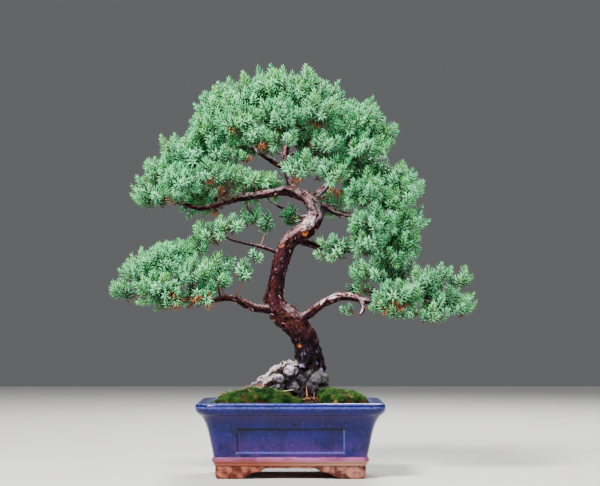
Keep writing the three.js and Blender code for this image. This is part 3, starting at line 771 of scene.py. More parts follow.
# %% Moss mounds
# each mound is x, y, z, then half its length, depth and height in millimetres
MOUNDS = {
    "moss_front_left": [
        (-42, -35, 59.5, 10, 11, 7.5),
        (-29, -34, 60, 9, 11, 8.8),
        (-17, -35, 59, 7, 10, 7.5),
        (-4, -37, 59.5, 11, 10, 8.2),
        (-58, -33, 57, 8, 9, 4.5),
    ],
    "moss_front_right": [
        (33, -34, 59.5, 10, 11, 8.6),
        (45, -32, 58.5, 8, 11, 7.2),
        (55, -30, 57.5, 8, 12, 6),
    ],
    "moss_back": [(-20, 38, 60, 16, 8, 6), (8, 39, 60, 14, 7, 6.5), (34, 38, 60, 14, 8, 5.5)],
}
moss_finish, tree, shader = new_material("moss", Roughness=0.8, Specular_IOR_Level=0.1)
place = own_place(tree)
tip = attribute(tree, "tip")["Fac"]
patch = grainy(tree, place, 11, 3)
speck = grainy(tree, place, 1.2, 2)
# painted light in the moss: the bed and the feet of the tufts are dark with painted shade, and the tips get
# the lit colour
bed = blend(tree, between(tree, speck, 0.3, 0.7), colour(2, 9, 2), colour(10, 30, 5))
lit = blend(tree, between(tree, patch, 0.4, 0.62), colour(24, 70, 28), colour(92, 134, 58))
green = blend(tree, tip, bed, lit)
dry = times(tree, between(tree, grainy(tree, place, 8, 4), 0.6, 0.7), 0.7)
green = blend(tree, dry, green, colour(140, 116, 62))
earthy = blend(tree, speck, colour(12, 8, 4), colour(76, 52, 30))
feed(tree, shader, Base_Color=blend(tree, attribute(tree, "bare")["Fac"], green, earthy))
bumpy(tree, shader, speck, 0.5, 0.8)


def hollow(place):
    """How deep a place lies between the clumps of moss, above 0 in a hollow."""
    return noise.noise(place / 9 + Vector((3.3, 0, 5)))


cushions = {}
for name, mounds in MOUNDS.items():
    bm = copy_of(name)
    for x, y, z, *half in mounds:
        shape = Matrix.Translation(spot(x, y, z)) @ Matrix.Diagonal((*half, 1))
        bmesh.ops.create_icosphere(bm, subdivisions=4, radius=MM, matrix=shape)
    mesh = settled(mesh_of(bm, name + "_bed"), *voxels(1.1, 3))
    hollows = [hollow(measured(vertex.co)) for vertex in mesh.vertices]
    push(mesh, lambda place, normal: uneven(place, (0.5, 2.3)) - 2.6 * hollow(place))
    mark(mesh, "tip", np.full(len(mesh.vertices), 0.15))
    mark(mesh, "bare", np.clip(np.array(hollows) * 5 - 0.6, 0, 1))
    cushions[name] = mesh
    finished(name + "_bed", mesh, moss_finish, "moss", name)

# %% Moss tufts
TUFTS_EACH_VERTEX = 0.58
TUFT_LEVEL = 57  # no tuft stands lower than this
BARE_HOLLOW = 0.22  # nor where a hollow between the clumps is deeper than this
FIFTH_TURN = 1.257  # in radians
draw = random.Random(8)
bm = bmesh.new()
for i in range(5):
    around = FIFTH_TURN * i
    lean = Vector((math.cos(around), math.sin(around), 0.75 if i % 2 else 1.3))
    cone(bm, 0.24, 0, 1.7, 3, turned(lean) @ Matrix.Translation((0, 0, 0.75 * MM)))
tuft = mesh_of(bm, "tuft")
tuft_tips = [min(1, vertex.co.length / (1.5 * MM)) for vertex in tuft.vertices]
for name, mesh in cushions.items():
    copies = []
    for vertex in mesh.vertices:
        if vertex.normal.z < -0.1 or draw.random() > TUFTS_EACH_VERTEX:
            continue
        if vertex.co.z < TUFT_LEVEL * MM or hollow(measured(vertex.co)) > BARE_HOLLOW:
            continue
        upward = turned(vertex.normal + Vector((0, 0, 0.4)) + scatter(draw, 0.5))
        spin = Matrix.Rotation(draw.uniform(0, math.tau), 4, "Z")
        size = draw.uniform(0.6, 1.3) + 0.8 * (draw.random() < 0.12)
        copies.append((tuft, Matrix.Translation(vertex.co) @ upward @ spin @ Matrix.Scale(size, 4)))
    tuft_mesh = gathered(name + "_tufts", copies)
    shades = np.repeat([draw.uniform(0.55, 1) for _ in copies], len(tuft_tips))
    mark(tuft_mesh, "tip", np.tile(tuft_tips, len(copies)) * shades)
    finished(name + "_tufts", tuft_mesh, moss_finish, "moss")

# %% [markdown]
# ## The wood
#
# Trunk, branches and roots are one grown piece. Each limb is a list of points down its middle with a radius,
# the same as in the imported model. It could be sculpted, but a list keeps every bend where the photograph has
# it. A smooth route is drawn through the points, a ring of points is set across it at each stop, and the
# rings are bridged into a tube. Voxels then melt the tubes together, so that each branch leaves the trunk in
# a soft collar.

# %% The limbs
TRUNK = [
    (18, 6, 44, 9),
    (17, 5, 58, 12.5),
    (15.5, 4, 74, 13.2),
    (15.8, 1, 90, 11.9),
    (14.5, 0, 98, 11.4),
    (12.8, 0, 107, 10.2),
    (9.2, 0, 116, 10.3),
    (1.3, -1, 125.5, 10.6),
    (-8, -1, 133.5, 9.5),
    (-13.2, -1, 142, 8.4),
    (-12.6, -2, 153, 6.9),
    (-11.3, -3, 160, 6.4),
    (-9.7, -4, 168, 6.6),
    (-7.2, -5, 178, 6.6),
    (-3.9, -6, 187, 6.7),
    (1.5, -6, 194, 6.8),
    (12.2, -4, 201, 7.1),
    (18.9, -2, 210, 6.9),
    (19.5, 0, 220, 6.3),
    (13, 1, 228.2, 5.3),
    (4.6, 1, 231.5, 4.7),
    (-3.9, 0, 233.6, 4.1),
    (-13, -2, 232.3, 3.7),
    (-24, -5, 230, 3.4),
    (-38, -8, 227.5, 3.1),
    (-52, -10, 224, 2.8),
    (-65, -10, 220, 2.4),
    (-76, -8, 218.5, 2.1),
    (-89, -6, 222.5, 1.7),
    (-101, -4, 226, 1.2),
]
BRANCHES = [
    # low on the right, arching over
    [
        (3, -2, 124, 4.6),
        (13, -5, 130.6, 4.1),
        (21, -8, 136.6, 3.8),
        (30, -11, 142.2, 3.5),
        (38.5, -13, 145.6, 3.4),
        (46, -13, 146.2, 3.4),
        (53, -12, 145, 3.2),
        (62, -10, 142.4, 2.7),
        (75, -7, 142.5, 2.2),
        (92, -4, 145, 1.9),
        (112, -2, 147, 1.5),
        (128, 0, 149, 1.1),
    ],
    # its cut stub, pointing down
    [
        (55, -12, 145, 2.3),
        (59.5, -14, 137.5, 1.9),
        (57, -15, 131, 1.2),
    ],
    # low on the left
    [
        (-9, -2, 136.4, 4.6),
        (-20, -5, 135.8, 4),
        (-31, -8, 137.4, 3.6),
        (-38.4, -10, 141, 3.4),
        (-46, -12, 144.8, 3.1),
        (-54, -12, 145.2, 2.8),
        (-64, -10, 142.6, 2.2),
        (-78, -8, 142, 2),
        (-94, -5, 145, 1.6),
        (-112, -3, 149, 1.1),
    ],
    # a thin twig half way up on the left
    [
        (-6, -5, 181, 2.2),
        (-15.4, -8, 184, 1.8),
        (-25, -10, 187, 1.5),
        (-36, -11, 189.4, 1.3),
        (-47, -11, 192, 1.1),
        (-57, -10, 197, 1),
    ],
    # half way up on the right, behind
    [
        (3, -5, 193, 3.3),
        (15, 3, 190, 2.9),
        (27, 8, 187, 2.5),
        (42, 10, 185, 2.2),
        (60, 8, 183, 1.9),
        (78, 4, 184, 1.5),
        (92, 0, 190, 1.1),
    ],
    # from the top bend to the right, behind
    [
        (19, 1, 219, 3.8),
        (27, 8, 222, 3.2),
        (36, 13, 217, 2.9),
        (50, 14, 214, 2.4),
        (66, 10, 216, 1.9),
        (84, 5, 222, 1.3),
    ],
    # up to the right shoulder of the crown
    [
        (17, 1, 225, 4),
        (27, 6, 236, 3.3),
        (38, 8, 246, 2.9),
        (52, 6, 258, 2.3),
        (62, 3, 271, 1.7),
        (68, 0, 282, 1.2),
    ],
    # leader up through the crown
    [
        (3, 1, 232, 4),
        (-1, 5, 244, 3.5),
        (-5, 7, 257, 3),
        (-3, 8, 272, 2.5),
        (2, 6, 288, 2),
        (5, 4, 303, 1.3),
    ],
    # from the leader to the left shoulder of the crown
    [
        (-4, 7, 252, 2.8),
        (-16, 5, 259, 2.4),
        (-30, 2, 268, 2),
        (-44, 0, 279, 1.5),
        (-54, 0, 288, 1.1),
    ],
    # out of the left branch, up to the left pad's top
    [
        (-45, -9, 226, 2.3),
        (-58, 0, 233, 1.9),
        (-72, 8, 243, 1.5),
        (-80, 12, 255, 1.1),
    ],
    # back of the crown
    [
        (-2, 6, 248, 2.6),
        (2, 20, 254, 2.2),
        (8, 34, 262, 1.8),
        (12, 46, 270, 1.2),
    ],
    # back, lower, from the trunk's upper bend
    [
        (17, -2, 207, 3),
        (16, 12, 208, 2.5),
        (10, 28, 212, 2.1),
        (0, 42, 218, 1.6),
        (-12, 50, 224, 1.1),
    ],
]
ROOTS = [
    # the long pale ridge that runs down to the left over the stone
    [
        (10, 0, 87, 7),
        (0, -3, 88.4, 4.9),
        (-10, -4, 86.2, 4.5),
        (-20, -5, 79.2, 4.1),
        (-29.5, -8, 72.4, 3.5),
        (-38, -11, 65.5, 2.9),
        (-43, -13, 57, 2.3),
    ],
    # left, lower and further forward
    [
        (-12, -6, 80, 4),
        (-21, -13, 74, 3),
        (-28, -18, 66, 2.4),
        (-33, -21, 57, 1.8),
    ],
    # back left
    [
        (12, 6, 80, 8),
        (3, 14, 73, 5),
        (-7, 21, 65, 3.8),
        (-14, 26, 55, 3),
    ],
    # back right
    [
        (17, 6, 79, 7.5),
        (25, 13, 70, 4.8),
        (31, 18, 63, 3.6),
        (35, 21, 55, 3),
    ],
]


class Limb:
    """A limb's stops, each a place, a direction, two directions across and a radius, all in millimetres."""

    def __init__(self, points, steps):
        route = smooth_route(points, steps)
        self.places = [Vector(row[:3]) for row in route]
        self.radii = route[:, 3]
        ends = [self.places[0], *self.places, self.places[-1]]
        self.along = [(after - before).normalized() for before, after in zip(ends, ends[2:])]
        steps_long = [0, *[(b - a).length for a, b in zip(self.places, self.places[1:])]]
        self.travelled = np.cumsum(steps_long)
        across = Vector((0, 1, 0.2))
        self.across = []
        for along in self.along:
            across = (across - across.dot(along) * along).normalized()
            self.across.append(across)

    def tube(self, bm, sides):
        """Adds the limb's skin to a bmesh."""
        rings = []
        last = len(self.places) - 1
        for i, place in enumerate(self.places):
            turn = turned(self.along[i], self.across[i])
            matrix = Matrix.Translation(spot(*place)) @ turn
            sizes = {"segments": sides, "radius": self.radii[i] * MM, "cap_ends": i in (0, last)}
            ring = bmesh.ops.create_circle(bm, matrix=matrix, **sizes)["verts"]
            rings.append(list({edge for vertex in ring for edge in vertex.link_edges}))
        for lower, upper in zip(rings, rings[1:]):
            bmesh.ops.bridge_loops(bm, edges=lower + upper)


WOOD_SIDES = {"trunk": 20, "branch": 10, "root": 12}
limbs = [(Limb(TRUNK, 4), "trunk")]
limbs += [(Limb(points, 3), "branch") for points in BRANCHES]
limbs += [(Limb(points, 4), "root") for points in ROOTS]
bm = bmesh.new()
for limb, kind in limbs:
    limb.tube(bm, WOOD_SIDES[kind])
bmesh.ops.recalc_face_normals(bm, faces=bm.faces)
print(len(limbs), "limbs")

# %% [markdown]
# Juniper bark comes away in long fibrous strips, so its grain has to follow each limb round its bends. For
# each point of the skin the nearest stop of a limb is looked up in a k-d tree, and the point's place is told
# in that limb's own straightened space: across, over, and how far along. A noise stretched along that last
# direction gives strips, one squeezed along it gives the fine cracks that run across, and both the relief and
# the colours read it. Old cuts are a few chosen places where the bark dips inside a raised rim.

# %% Each place on its limb
WOOD_VOXEL = 0.75
BARK_DEPTH = 1.0
# cuts and sores in the bark: x, y, z, radius, and 1 where the wood is fresh and orange or 0 where it is dark
SCARS = [
    (11.7, -11, 198, 2.1, 0.9),
    (-7.5, -10, 187.5, 2.2, 0.5),
    (6.8, -8.6, 105.8, 1.8, 1),
    (-15, -8.5, 170, 1.6, 0),
    (-19.5, -6, 145, 3.2, 0.05),
    (-3, -10.5, 131, 2.2, 0.15),
    (21, -6, 205, 2.4, 0.1),
    (16.5, -9, 214, 2, 0),
    (-9, -11, 152, 2.4, 0),
    (8, -11, 122, 2, 0.1),
    (46, -16, 148, 1.8, 0.1),
    (30, -14.5, 143, 1.6, 0),
    (-52, -14.5, 146, 1.6, 0.2),
]
stops = [(limb, kind, i) for limb, kind in limbs for i in range(len(limb.places))]
nearby = kdtree.KDTree(len(stops))
for index, (limb, _, i) in enumerate(stops):
    nearby.insert(limb.places[i], index)
nearby.balance()


def on_limb(place):
    """The limb that a place belongs to, its kind and nearest stop, and the place in the limb's own space."""

    def outside(hit):
        """How far the place lies outside the limb at a stop that was found."""
        limb, _, i = stops[hit[1]]
        return hit[2] - limb.radii[i]

    limb, kind, i = stops[min(nearby.find_n(place, 6), key=outside)[1]]
    along, across = limb.along[i], limb.across[i]
    away = place - limb.places[i]
    travelled = limb.travelled[i] + away.dot(along)
    return limb, kind, i, Vector((away.dot(across), away.dot(along.cross(across)), travelled))


def scar_at(place):
    """How deep a place lies in a scar, from 0 to 1, the lift of the scar's rim there, and its freshness."""
    depth, rim, fresh = 0, 0, 0
    for x, y, z, radius, freshness in SCARS:
        apart = place - Vector((x, y, z))
        away = Vector((apart.x, apart.y, 1.35 * apart.z)).length / radius + uneven(place, (0.6, 1.6))
        inside = held((1.3 - away) * 1.8)
        if inside > depth:
            depth, fresh = inside, freshness
        rim = max(rim, math.exp(-(((away - 1.2) / 0.25) ** 2)))
    return depth, rim, fresh


wood_mesh = settled(mesh_of(bm, "juniper_wood"), *voxels(WOOD_VOXEL, 3))
print("the wood has", len(wood_mesh.vertices), "points")

# %% The bark's relief
# directions for painted light on the bark: a painted highlight on the sides facing SUN and OPEN_SKY, painted
# shade on the sides facing SHADE
SUN = Vector((-0.2, -0.45, 0.87))
OPEN_SKY = Vector((0.2, -0.84, 0.6))  # what lights the top bend, which nothing shades from the front
SHADE = Vector((0.5, -0.2, -0.84))  # the sides facing this way get painted shade
normals = [vertex.normal.copy() for vertex in wood_mesh.vertices]
grains, looks, wounds, flake_spots = [], [], [], []
for vertex, normal in zip(wood_mesh.vertices, normals):
    place = measured(vertex.co)
    limb, kind, i, straight = on_limb(place)
    radius = limb.radii[i] if kind != "root" else max(6.5, 1.6 * limb.radii[i])
    # noises in the limb's own space, drawn out or squeezed along it, and two in the tree's own space
    across = Vector((straight.x, straight.y, straight.z * 0.2))
    strips = noise.noise(across / 2.3)
    cracks = noise.noise(Vector((straight.x * 0.5, straight.y * 0.5, straight.z * 1.5)) / 2.4)
    plates = noise.fractal(Vector((straight.x, straight.y, straight.z * 0.45)) / 4.5, 0.7, 2, 4)
    lumps = noise.noise(place / 10)
    knobs = noise.noise(place / 4.6 + Vector((7, 0, 0)))
    rings = noise.noise(Vector((straight.x * 0.3, straight.y * 0.3, straight.z)) / 2.6)
    # the relief, which is deeper on thick wood and knobbly where the trunk meets its roots
    collar = rising(place.z, 100, 88) if kind == "trunk" else 0
    fissure = max(math.exp(-((strips / 0.1) ** 2)), 0.6 * math.exp(-((cracks / 0.07) ** 2)))
    size = min(1, radius / 8)
    depth, rim, fresh = scar_at(place)
    relief = 0.8 * plates + 1.3 * lumps + 1.1 * knobs + 0.8 * rings - 0.5 * fissure * (1 - depth)
    lift = BARK_DEPTH * size * relief + collar * (0.8 + 2.6 * knobs)
    if kind == "root":
        lift += 0.9 * knobs + uneven(place, (0.6, 2.6))
    vertex.co += normal * ((lift + 0.5 * rim - 0.7 * depth) * MM)
    # age: darker near the ground, plus painted shade facing SHADE; light: a painted highlight facing the lamps
    # and sky
    age = rising(place.z, 128, 106) if kind == "trunk" else 0
    age = max(age, 0.75 * held(1.6 * normal.dot(SHADE)))
    bend = rising(place.x, 1, 13) * rising(place.z, 198, 210)
    exposure = 0.42 if place.z < 228 else 0.75  # the painted highlight is weaker where the pads shade the trunk, and most so low down
    if kind == "root" or place.x > 24:
        exposure = 1
    light = exposure * max(0, normal.dot(SUN))
    light += (1.3 * max(0, normal.dot(OPEN_SKY)) - light) * bend
    # and a painted highlight on the knobs of the collar
    light = light * (1 - 0.7 * age) + 1.5 * collar * max(0, knobs)
    grains.append(straight)
    looks.append((fissure * (1 - depth), age, 1 if kind == "root" else 0, light))
    if kind != "root" and radius > 2.5 and depth == 0 and place.z > 122:
        flake_spots.append((vertex.co.copy(), normal, limb.along[i]))
    wounds.append((depth, fresh, size, 1))
mark(wood_mesh, "grain", grains, "FLOAT_VECTOR")
mark(wood_mesh, "look", looks, "FLOAT_COLOR")
mark(wood_mesh, "wound", wounds, "FLOAT_COLOR")
print("flakes can stand at", len(flake_spots), "of its points")

# %% [markdown]
# The bark is red-brown with a mauve cast, and its flakes are edged in pinkish grey where they curl off and
# catch the light. Near the soil it turns dark and purplish, and the roots are a dark grey-brown. The finish
# mixes these by the attributes kept above: how deep in a crack, how near the ground, root or not. The same
# attributes carry painted shade on the sides that face down and away, and a painted highlight, pinkish
# white on the trunk, lilac at the collar and pale on the roots, where the bark faces the lamps and the sky.


# %% Bark finish
def stretched(tree, place, across, along):
    """A limb's own space in metres. A small factor draws a pattern out, a large one squeezes it."""
    scale = (across * MM, across * MM, along * MM)
    return connect(tree, "Mapping", {"Vector": place, "Scale": scale}).outputs[0]


bark, tree, shader = new_material("juniper_bark", Roughness=0.75, Specular_IOR_Level=0.08)
straight = attribute(tree, "grain")["Vector"]
look = attribute(tree, "look")
wound = parts_of(tree, attribute(tree, "wound")["Color"])
shade = parts_of(tree, look["Color"])
strips = grainy(tree, stretched(tree, straight, 1, 0.25), 1.5, 5)
cracks = grainy(tree, stretched(tree, straight, 0.5, 1.6), 1.3, 3)
broken = between(tree, blend(tree, 0.5, strips, cracks), 0.42, 0.54)
patch = grainy(tree, own_place(tree), 9, 4)
blotch = grainy(tree, stretched(tree, straight, 1, 0.6), 3.4, 5)
mottled = times(tree, broken, between(tree, blotch, 0.36, 0.56, 0.35, 1))
warm = blend(tree, between(tree, blotch, 0.42, 0.64), colour(14, 5, 6), colour(78, 35, 33))
mauve = blend(tree, between(tree, patch, 0.45, 0.6, 0, 0.6), warm, colour(58, 28, 38))
flakes = times(tree, between(tree, strips, 0.58, 0.68), between(tree, cracks, 0.42, 0.58))
pale = blend(tree, times(tree, flakes, 0.45), mauve, colour(190, 134, 132))
pale = blend(tree, times(tree, between(tree, cracks, 0.42, 0.32), 0.7), pale, colour(16, 5, 6))
aged = blend(tree, between(tree, blotch, 0.4, 0.66), colour(4, 2, 5), colour(33, 18, 28))
# lilac flakes on the old bark, partly the bark's own flakes and partly a painted highlight of the collar
aged = blend(tree, times(tree, flakes, 0.4), aged, colour(150, 124, 156))
# aged: the dark low bark, together with painted shade on the sides facing down and away
barky = blend(tree, times(tree, shade[1], 0.95), pale, aged)
rooty = blend(tree, between(tree, blotch, 0.46, 0.62), colour(18, 12, 13), colour(80, 63, 62))
rooty = blend(tree, between(tree, strips, 0.48, 0.36), rooty, colour(12, 7, 7))
# a painted highlight on the tops of the roots
sunny = times(tree, between(tree, look["Alpha"], 0.5, 0.9), mottled)
rooty = blend(tree, sunny, rooty, colour(228, 212, 208))
barky = blend(tree, shade[2], barky, rooty)
# a painted highlight on the bark that faces the lamps and the sky, pinkish white, and lilac where the bark is
# aged
sunlit = times(tree, between(tree, look["Alpha"], 0.24, 0.62, 0, 1.1), mottled)
sunlit = times(tree, sunlit, between(tree, shade[2], 0, 1, 1, 0))
lit = blend(tree, between(tree, patch, 0.4, 0.6), colour(252, 178, 182), colour(252, 222, 228))
barky = blend(tree, sunlit, barky, blend(tree, shade[1], lit, colour(158, 138, 176)))
barky = blend(tree, times(tree, shade[0], 0.45), barky, colour(10, 3, 4))
fresh = blend(tree, wound[1], colour(6, 2, 2), colour(138, 52, 16))
fresh = blend(tree, times(tree, between(tree, cracks, 0.45, 0.65), wound[1]), fresh, colour(196, 118, 56))
barky = blend(tree, wound[0], barky, fresh)
feed(tree, shader, Base_Color=barky)
bumpy(tree, shader, blend(tree, 0.4, strips, cracks), 0.7, 0.9)
finished("juniper_wood", wood_mesh, bark, "bark", "trunk")

# %% [markdown]
# Loose flakes stand off the bark, and they are what makes the edge of the trunk look rough. A flake starts as
# a narrow grid that is bent into a curl and given a thickness. Each is stuck to a point of the bark by one
# end, with its length near the grain of the limb.

# %% Flakes of bark
FLAKES = 260
draw = random.Random(11)
bm = bmesh.new()
bmesh.ops.create_grid(bm, x_segments=1, y_segments=4, size=0.5 * MM)
for vertex in bm.verts:
    share = vertex.co.y / MM + 0.5
    vertex.co = Vector((vertex.co.x * 0.5 * (1.2 - share), share * MM, 0.7 * share * share * MM))
bmesh.ops.solidify(bm, geom=bm.faces, thickness=0.09 * MM)
flake = mesh_of(bm, "flake")
copies = []
for _ in range(FLAKES):
    place, normal, along = draw.choice(flake_spots)
    lean = along * draw.choice((-1, 1)) + along.cross(normal) * draw.uniform(-0.7, 0.7)
    size = Matrix.Diagonal((draw.uniform(1.6, 4), draw.uniform(2, 4.5), draw.uniform(1, 3.4), 1))
    copies.append((flake, Matrix.Translation(place - normal * 0.1 * MM) @ turned(normal, lean) @ size))
flake_mesh = gathered("bark_flakes", copies)
tones = np.repeat([draw.random() for _ in copies], len(flake.vertices))
mark(flake_mesh, "tone", tones)
curl, tree, shader = new_material("bark_flake", Roughness=0.8, Specular_IOR_Level=0.15)
tone = attribute(tree, "tone")["Fac"]
grain = grainy(tree, own_place(tree), 0.8, 2)
flaky = blend(tree, between(tree, tone, 0.2, 1), colour(70, 30, 28), colour(190, 138, 130))
feed(tree, shader, Base_Color=blend(tree, times(tree, grain, 0.5), flaky, colour(70, 30, 30)))
finished("bark_flakes", flake_mesh, curl, "bark")

# %% [markdown]
# ## A needle and a shoot
#
# Everything green on this tree is one small shape, thousands of times: a stiff needle, flat and bloomed with
# pale wax on the side that faces the tip, keeled and green on the other. It starts as a three-sided cone. The
# middle of its base is drawn back into a foot, which leaves six faces, and it is flattened. Needles sit on a
# shoot in whorls of three, each whorl turned by a sixth, wide open at the foot of the shoot and closing
# towards its tip.

# %% A needle
NEEDLE_LONG = 6.6
NEEDLE_WIDE = 1.45
NEEDLE_FLAT = 0.6  # its thickness as a share of its width
FOOT_SHARE = 0.32  # how far along the needle is widest
TRIANGLE = 1.73  # the side of a triangle with equal sides, over the radius of the circle round it
needle = bmesh.new()
lift = Matrix.Translation((0, 0, (1 + FOOT_SHARE) / 2 * NEEDLE_LONG * MM)) @ Matrix.Rotation(math.pi, 4, "Z")
cone(needle, NEEDLE_WIDE / TRIANGLE, 0, (1 - FOOT_SHARE) * NEEDLE_LONG, 3, lift, cap_tris=True)
for vertex in needle.verts:
    on_axis = Vector((vertex.co.x, vertex.co.y)).length < 1e-6
    if on_axis and vertex.co.z < NEEDLE_LONG / 2 * MM:
        vertex.co.z = 0
    vertex.co.y *= NEEDLE_FLAT
# red: how far along the needle, green: its waxy side, blue: how far up the shoot, alpha: needle or wood
layer = needle.loops.layers.float_color.new("leaf")
needle.normal_update()
for face in needle.faces:
    for loop in face.loops:
        loop[layer] = (loop.vert.co.z / (NEEDLE_LONG * MM), float(face.normal.y > 0.5), 0, 1)
needle = mesh_of(needle, "needle")
print("a needle has", len(needle.polygons), "faces")

# %% Shoots
SHOOT_LENGTHS = (14, 18, 24, 28)
WHORL_STEP = 1.8
BARE_FOOT = 2  # no needles stand below this height
NEEDLE_OPEN = (55, 22)  # degrees between the shoot and its needles, at its foot and at its tip
STEM = (0.6, 0.3)  # radius at the foot and at the tip
SHOOT_BEND = 0.12  # how far the tip is bent up, as a share of the length
draw = random.Random(3)


def woody(mesh):
    """Marks a whole mesh as wood, in the same attribute as the needles use."""
    mark(mesh, "leaf", np.zeros((len(mesh.loops), 4)), "FLOAT_COLOR", "CORNER")
    return mesh


def rod(low, high, length):
    """A thin tapered stem that stands along Z, as a mesh. Its sizes are in millimetres."""
    bm = bmesh.new()
    cone(bm, low, high, length, 4, Matrix.Translation((0, 0, length / 2 * MM)))
    return woody(mesh_of(bm, "rod"))


def shoot(length):
    """A leafy shoot that stands along Z and bends towards Y."""
    copies = [(rod(*STEM, length - 3), Matrix())]
    whorls = round((length - BARE_FOOT) / WHORL_STEP)
    for k in range(whorls):
        share = k / (whorls - 1)
        height = BARE_FOOT + (length - BARE_FOOT - 0.6 * NEEDLE_LONG) * share
        lean = math.radians(NEEDLE_OPEN[0] - (NEEDLE_OPEN[0] - NEEDLE_OPEN[1]) * share**1.8)
        size = (0.82 + 0.22 * math.sin(math.pi * min(1, 1.2 * share))) * (1 - 0.28 * share**4)
        for i in range(3):
            angle = math.tau * (i / 3 + k / 6) + draw.uniform(-0.2, 0.2)
            tilt = lean + draw.uniform(-0.14, 0.14)
            out = Vector((math.cos(angle), math.sin(angle), 0))
            along = out * math.sin(tilt) + Vector((0, 0, math.cos(tilt)))
            inner = Vector((0, 0, math.sin(tilt))) - out * math.cos(tilt)
            place = Matrix.Translation((out * 0.35 + Vector((0, 0, height))) * MM)
            scale = Matrix.Scale(size * draw.uniform(0.88, 1.1), 4)
            copies.append((needle, place @ turned(along, inner) @ scale))
    bm = bmesh.new()
    bm.from_mesh(gathered("whorls", copies))
    leaf = bm.loops.layers.float_color["leaf"]
    for face in bm.faces:
        for loop in face.loops:
            along, waxy, _, green = loop[leaf]
            loop[leaf] = (along, waxy, min(1, loop.vert.co.z / (length * MM)), green)
    for vertex in bm.verts:
        share = vertex.co.z / (length * MM)
        vertex.co.y += SHOOT_BEND * share * abs(share) * length * MM
    return mesh_of(bm, "shoot")


shoots = [shoot(length) for length in SHOOT_LENGTHS]
print("shoots of", [len(mesh.polygons) for mesh in shoots], "faces")

# %% [markdown]
# A juniper's shoots seldom stand alone: each leading shoot carries two to four shorter ones on its lower
# half, to its left and right, so that a hand of them is nearly flat. Such hands are what the eye picks out
# along the edge of the crown. Seven are enough, because every copy is turned, sized and tinted.

# %% Hands of shoots
# for each hand, its leading shoot and then its side shoots as [which, height share, turn, lean]
HANDS = [
    (3, [(1, 0.28, 0, 44), (1, 0.4, 185, 42), (0, 0.54, 15, 38)]),
    (3, [(1, 0.26, 340, 46), (0, 0.38, 170, 44), (0, 0.5, 20, 40), (0, 0.6, 200, 38)]),
    (2, [(0, 0.32, 10, 46), (0, 0.42, 190, 44)]),
    (2, [(1, 0.22, 160, 40), (0, 0.42, 330, 42)]),
    (2, []),
    (1, []),
    (0, []),
]


def hand(leader, fingers):
    """A leading shoot with its side shoots."""
    long = SHOOT_LENGTHS[leader]
    copies = [(shoots[leader], Matrix())]
    for which, share, turn, lean in fingers:
        height = share * long
        root = Matrix.Translation((0, SHOOT_BEND * share * height * MM, height * MM))
        spin = Matrix.Rotation(math.radians(turn), 4, "Z") @ Matrix.Rotation(math.radians(lean), 4, "X")
        copies.append((shoots[which], root @ spin @ Matrix.Rotation(math.pi, 4, "Z")))
    return gathered("hand", copies)


hands = [hand(*parts) for parts in HANDS]
print("hands of", [len(mesh.polygons) for mesh in hands], "faces")

# %% [markdown]
# ## Pads of foliage
#
# A bonsai's foliage is trained into pads, and each pad is a cloud of lobes. A lobe is a place and three half
# sizes, read off the photograph for the edge of the tree and chosen to fill it in depth. Directions are
# spread evenly over each lobe by the golden angle, as seeds are in a sunflower. A hand of shoots ends at the
# lobe's surface in each direction and grows outwards and a little up, away from the heart of its pad. What
# would end inside a neighbouring lobe is left out. On the underside, where no light reaches, hands are fewer
# and smaller, and some are dead and brown.

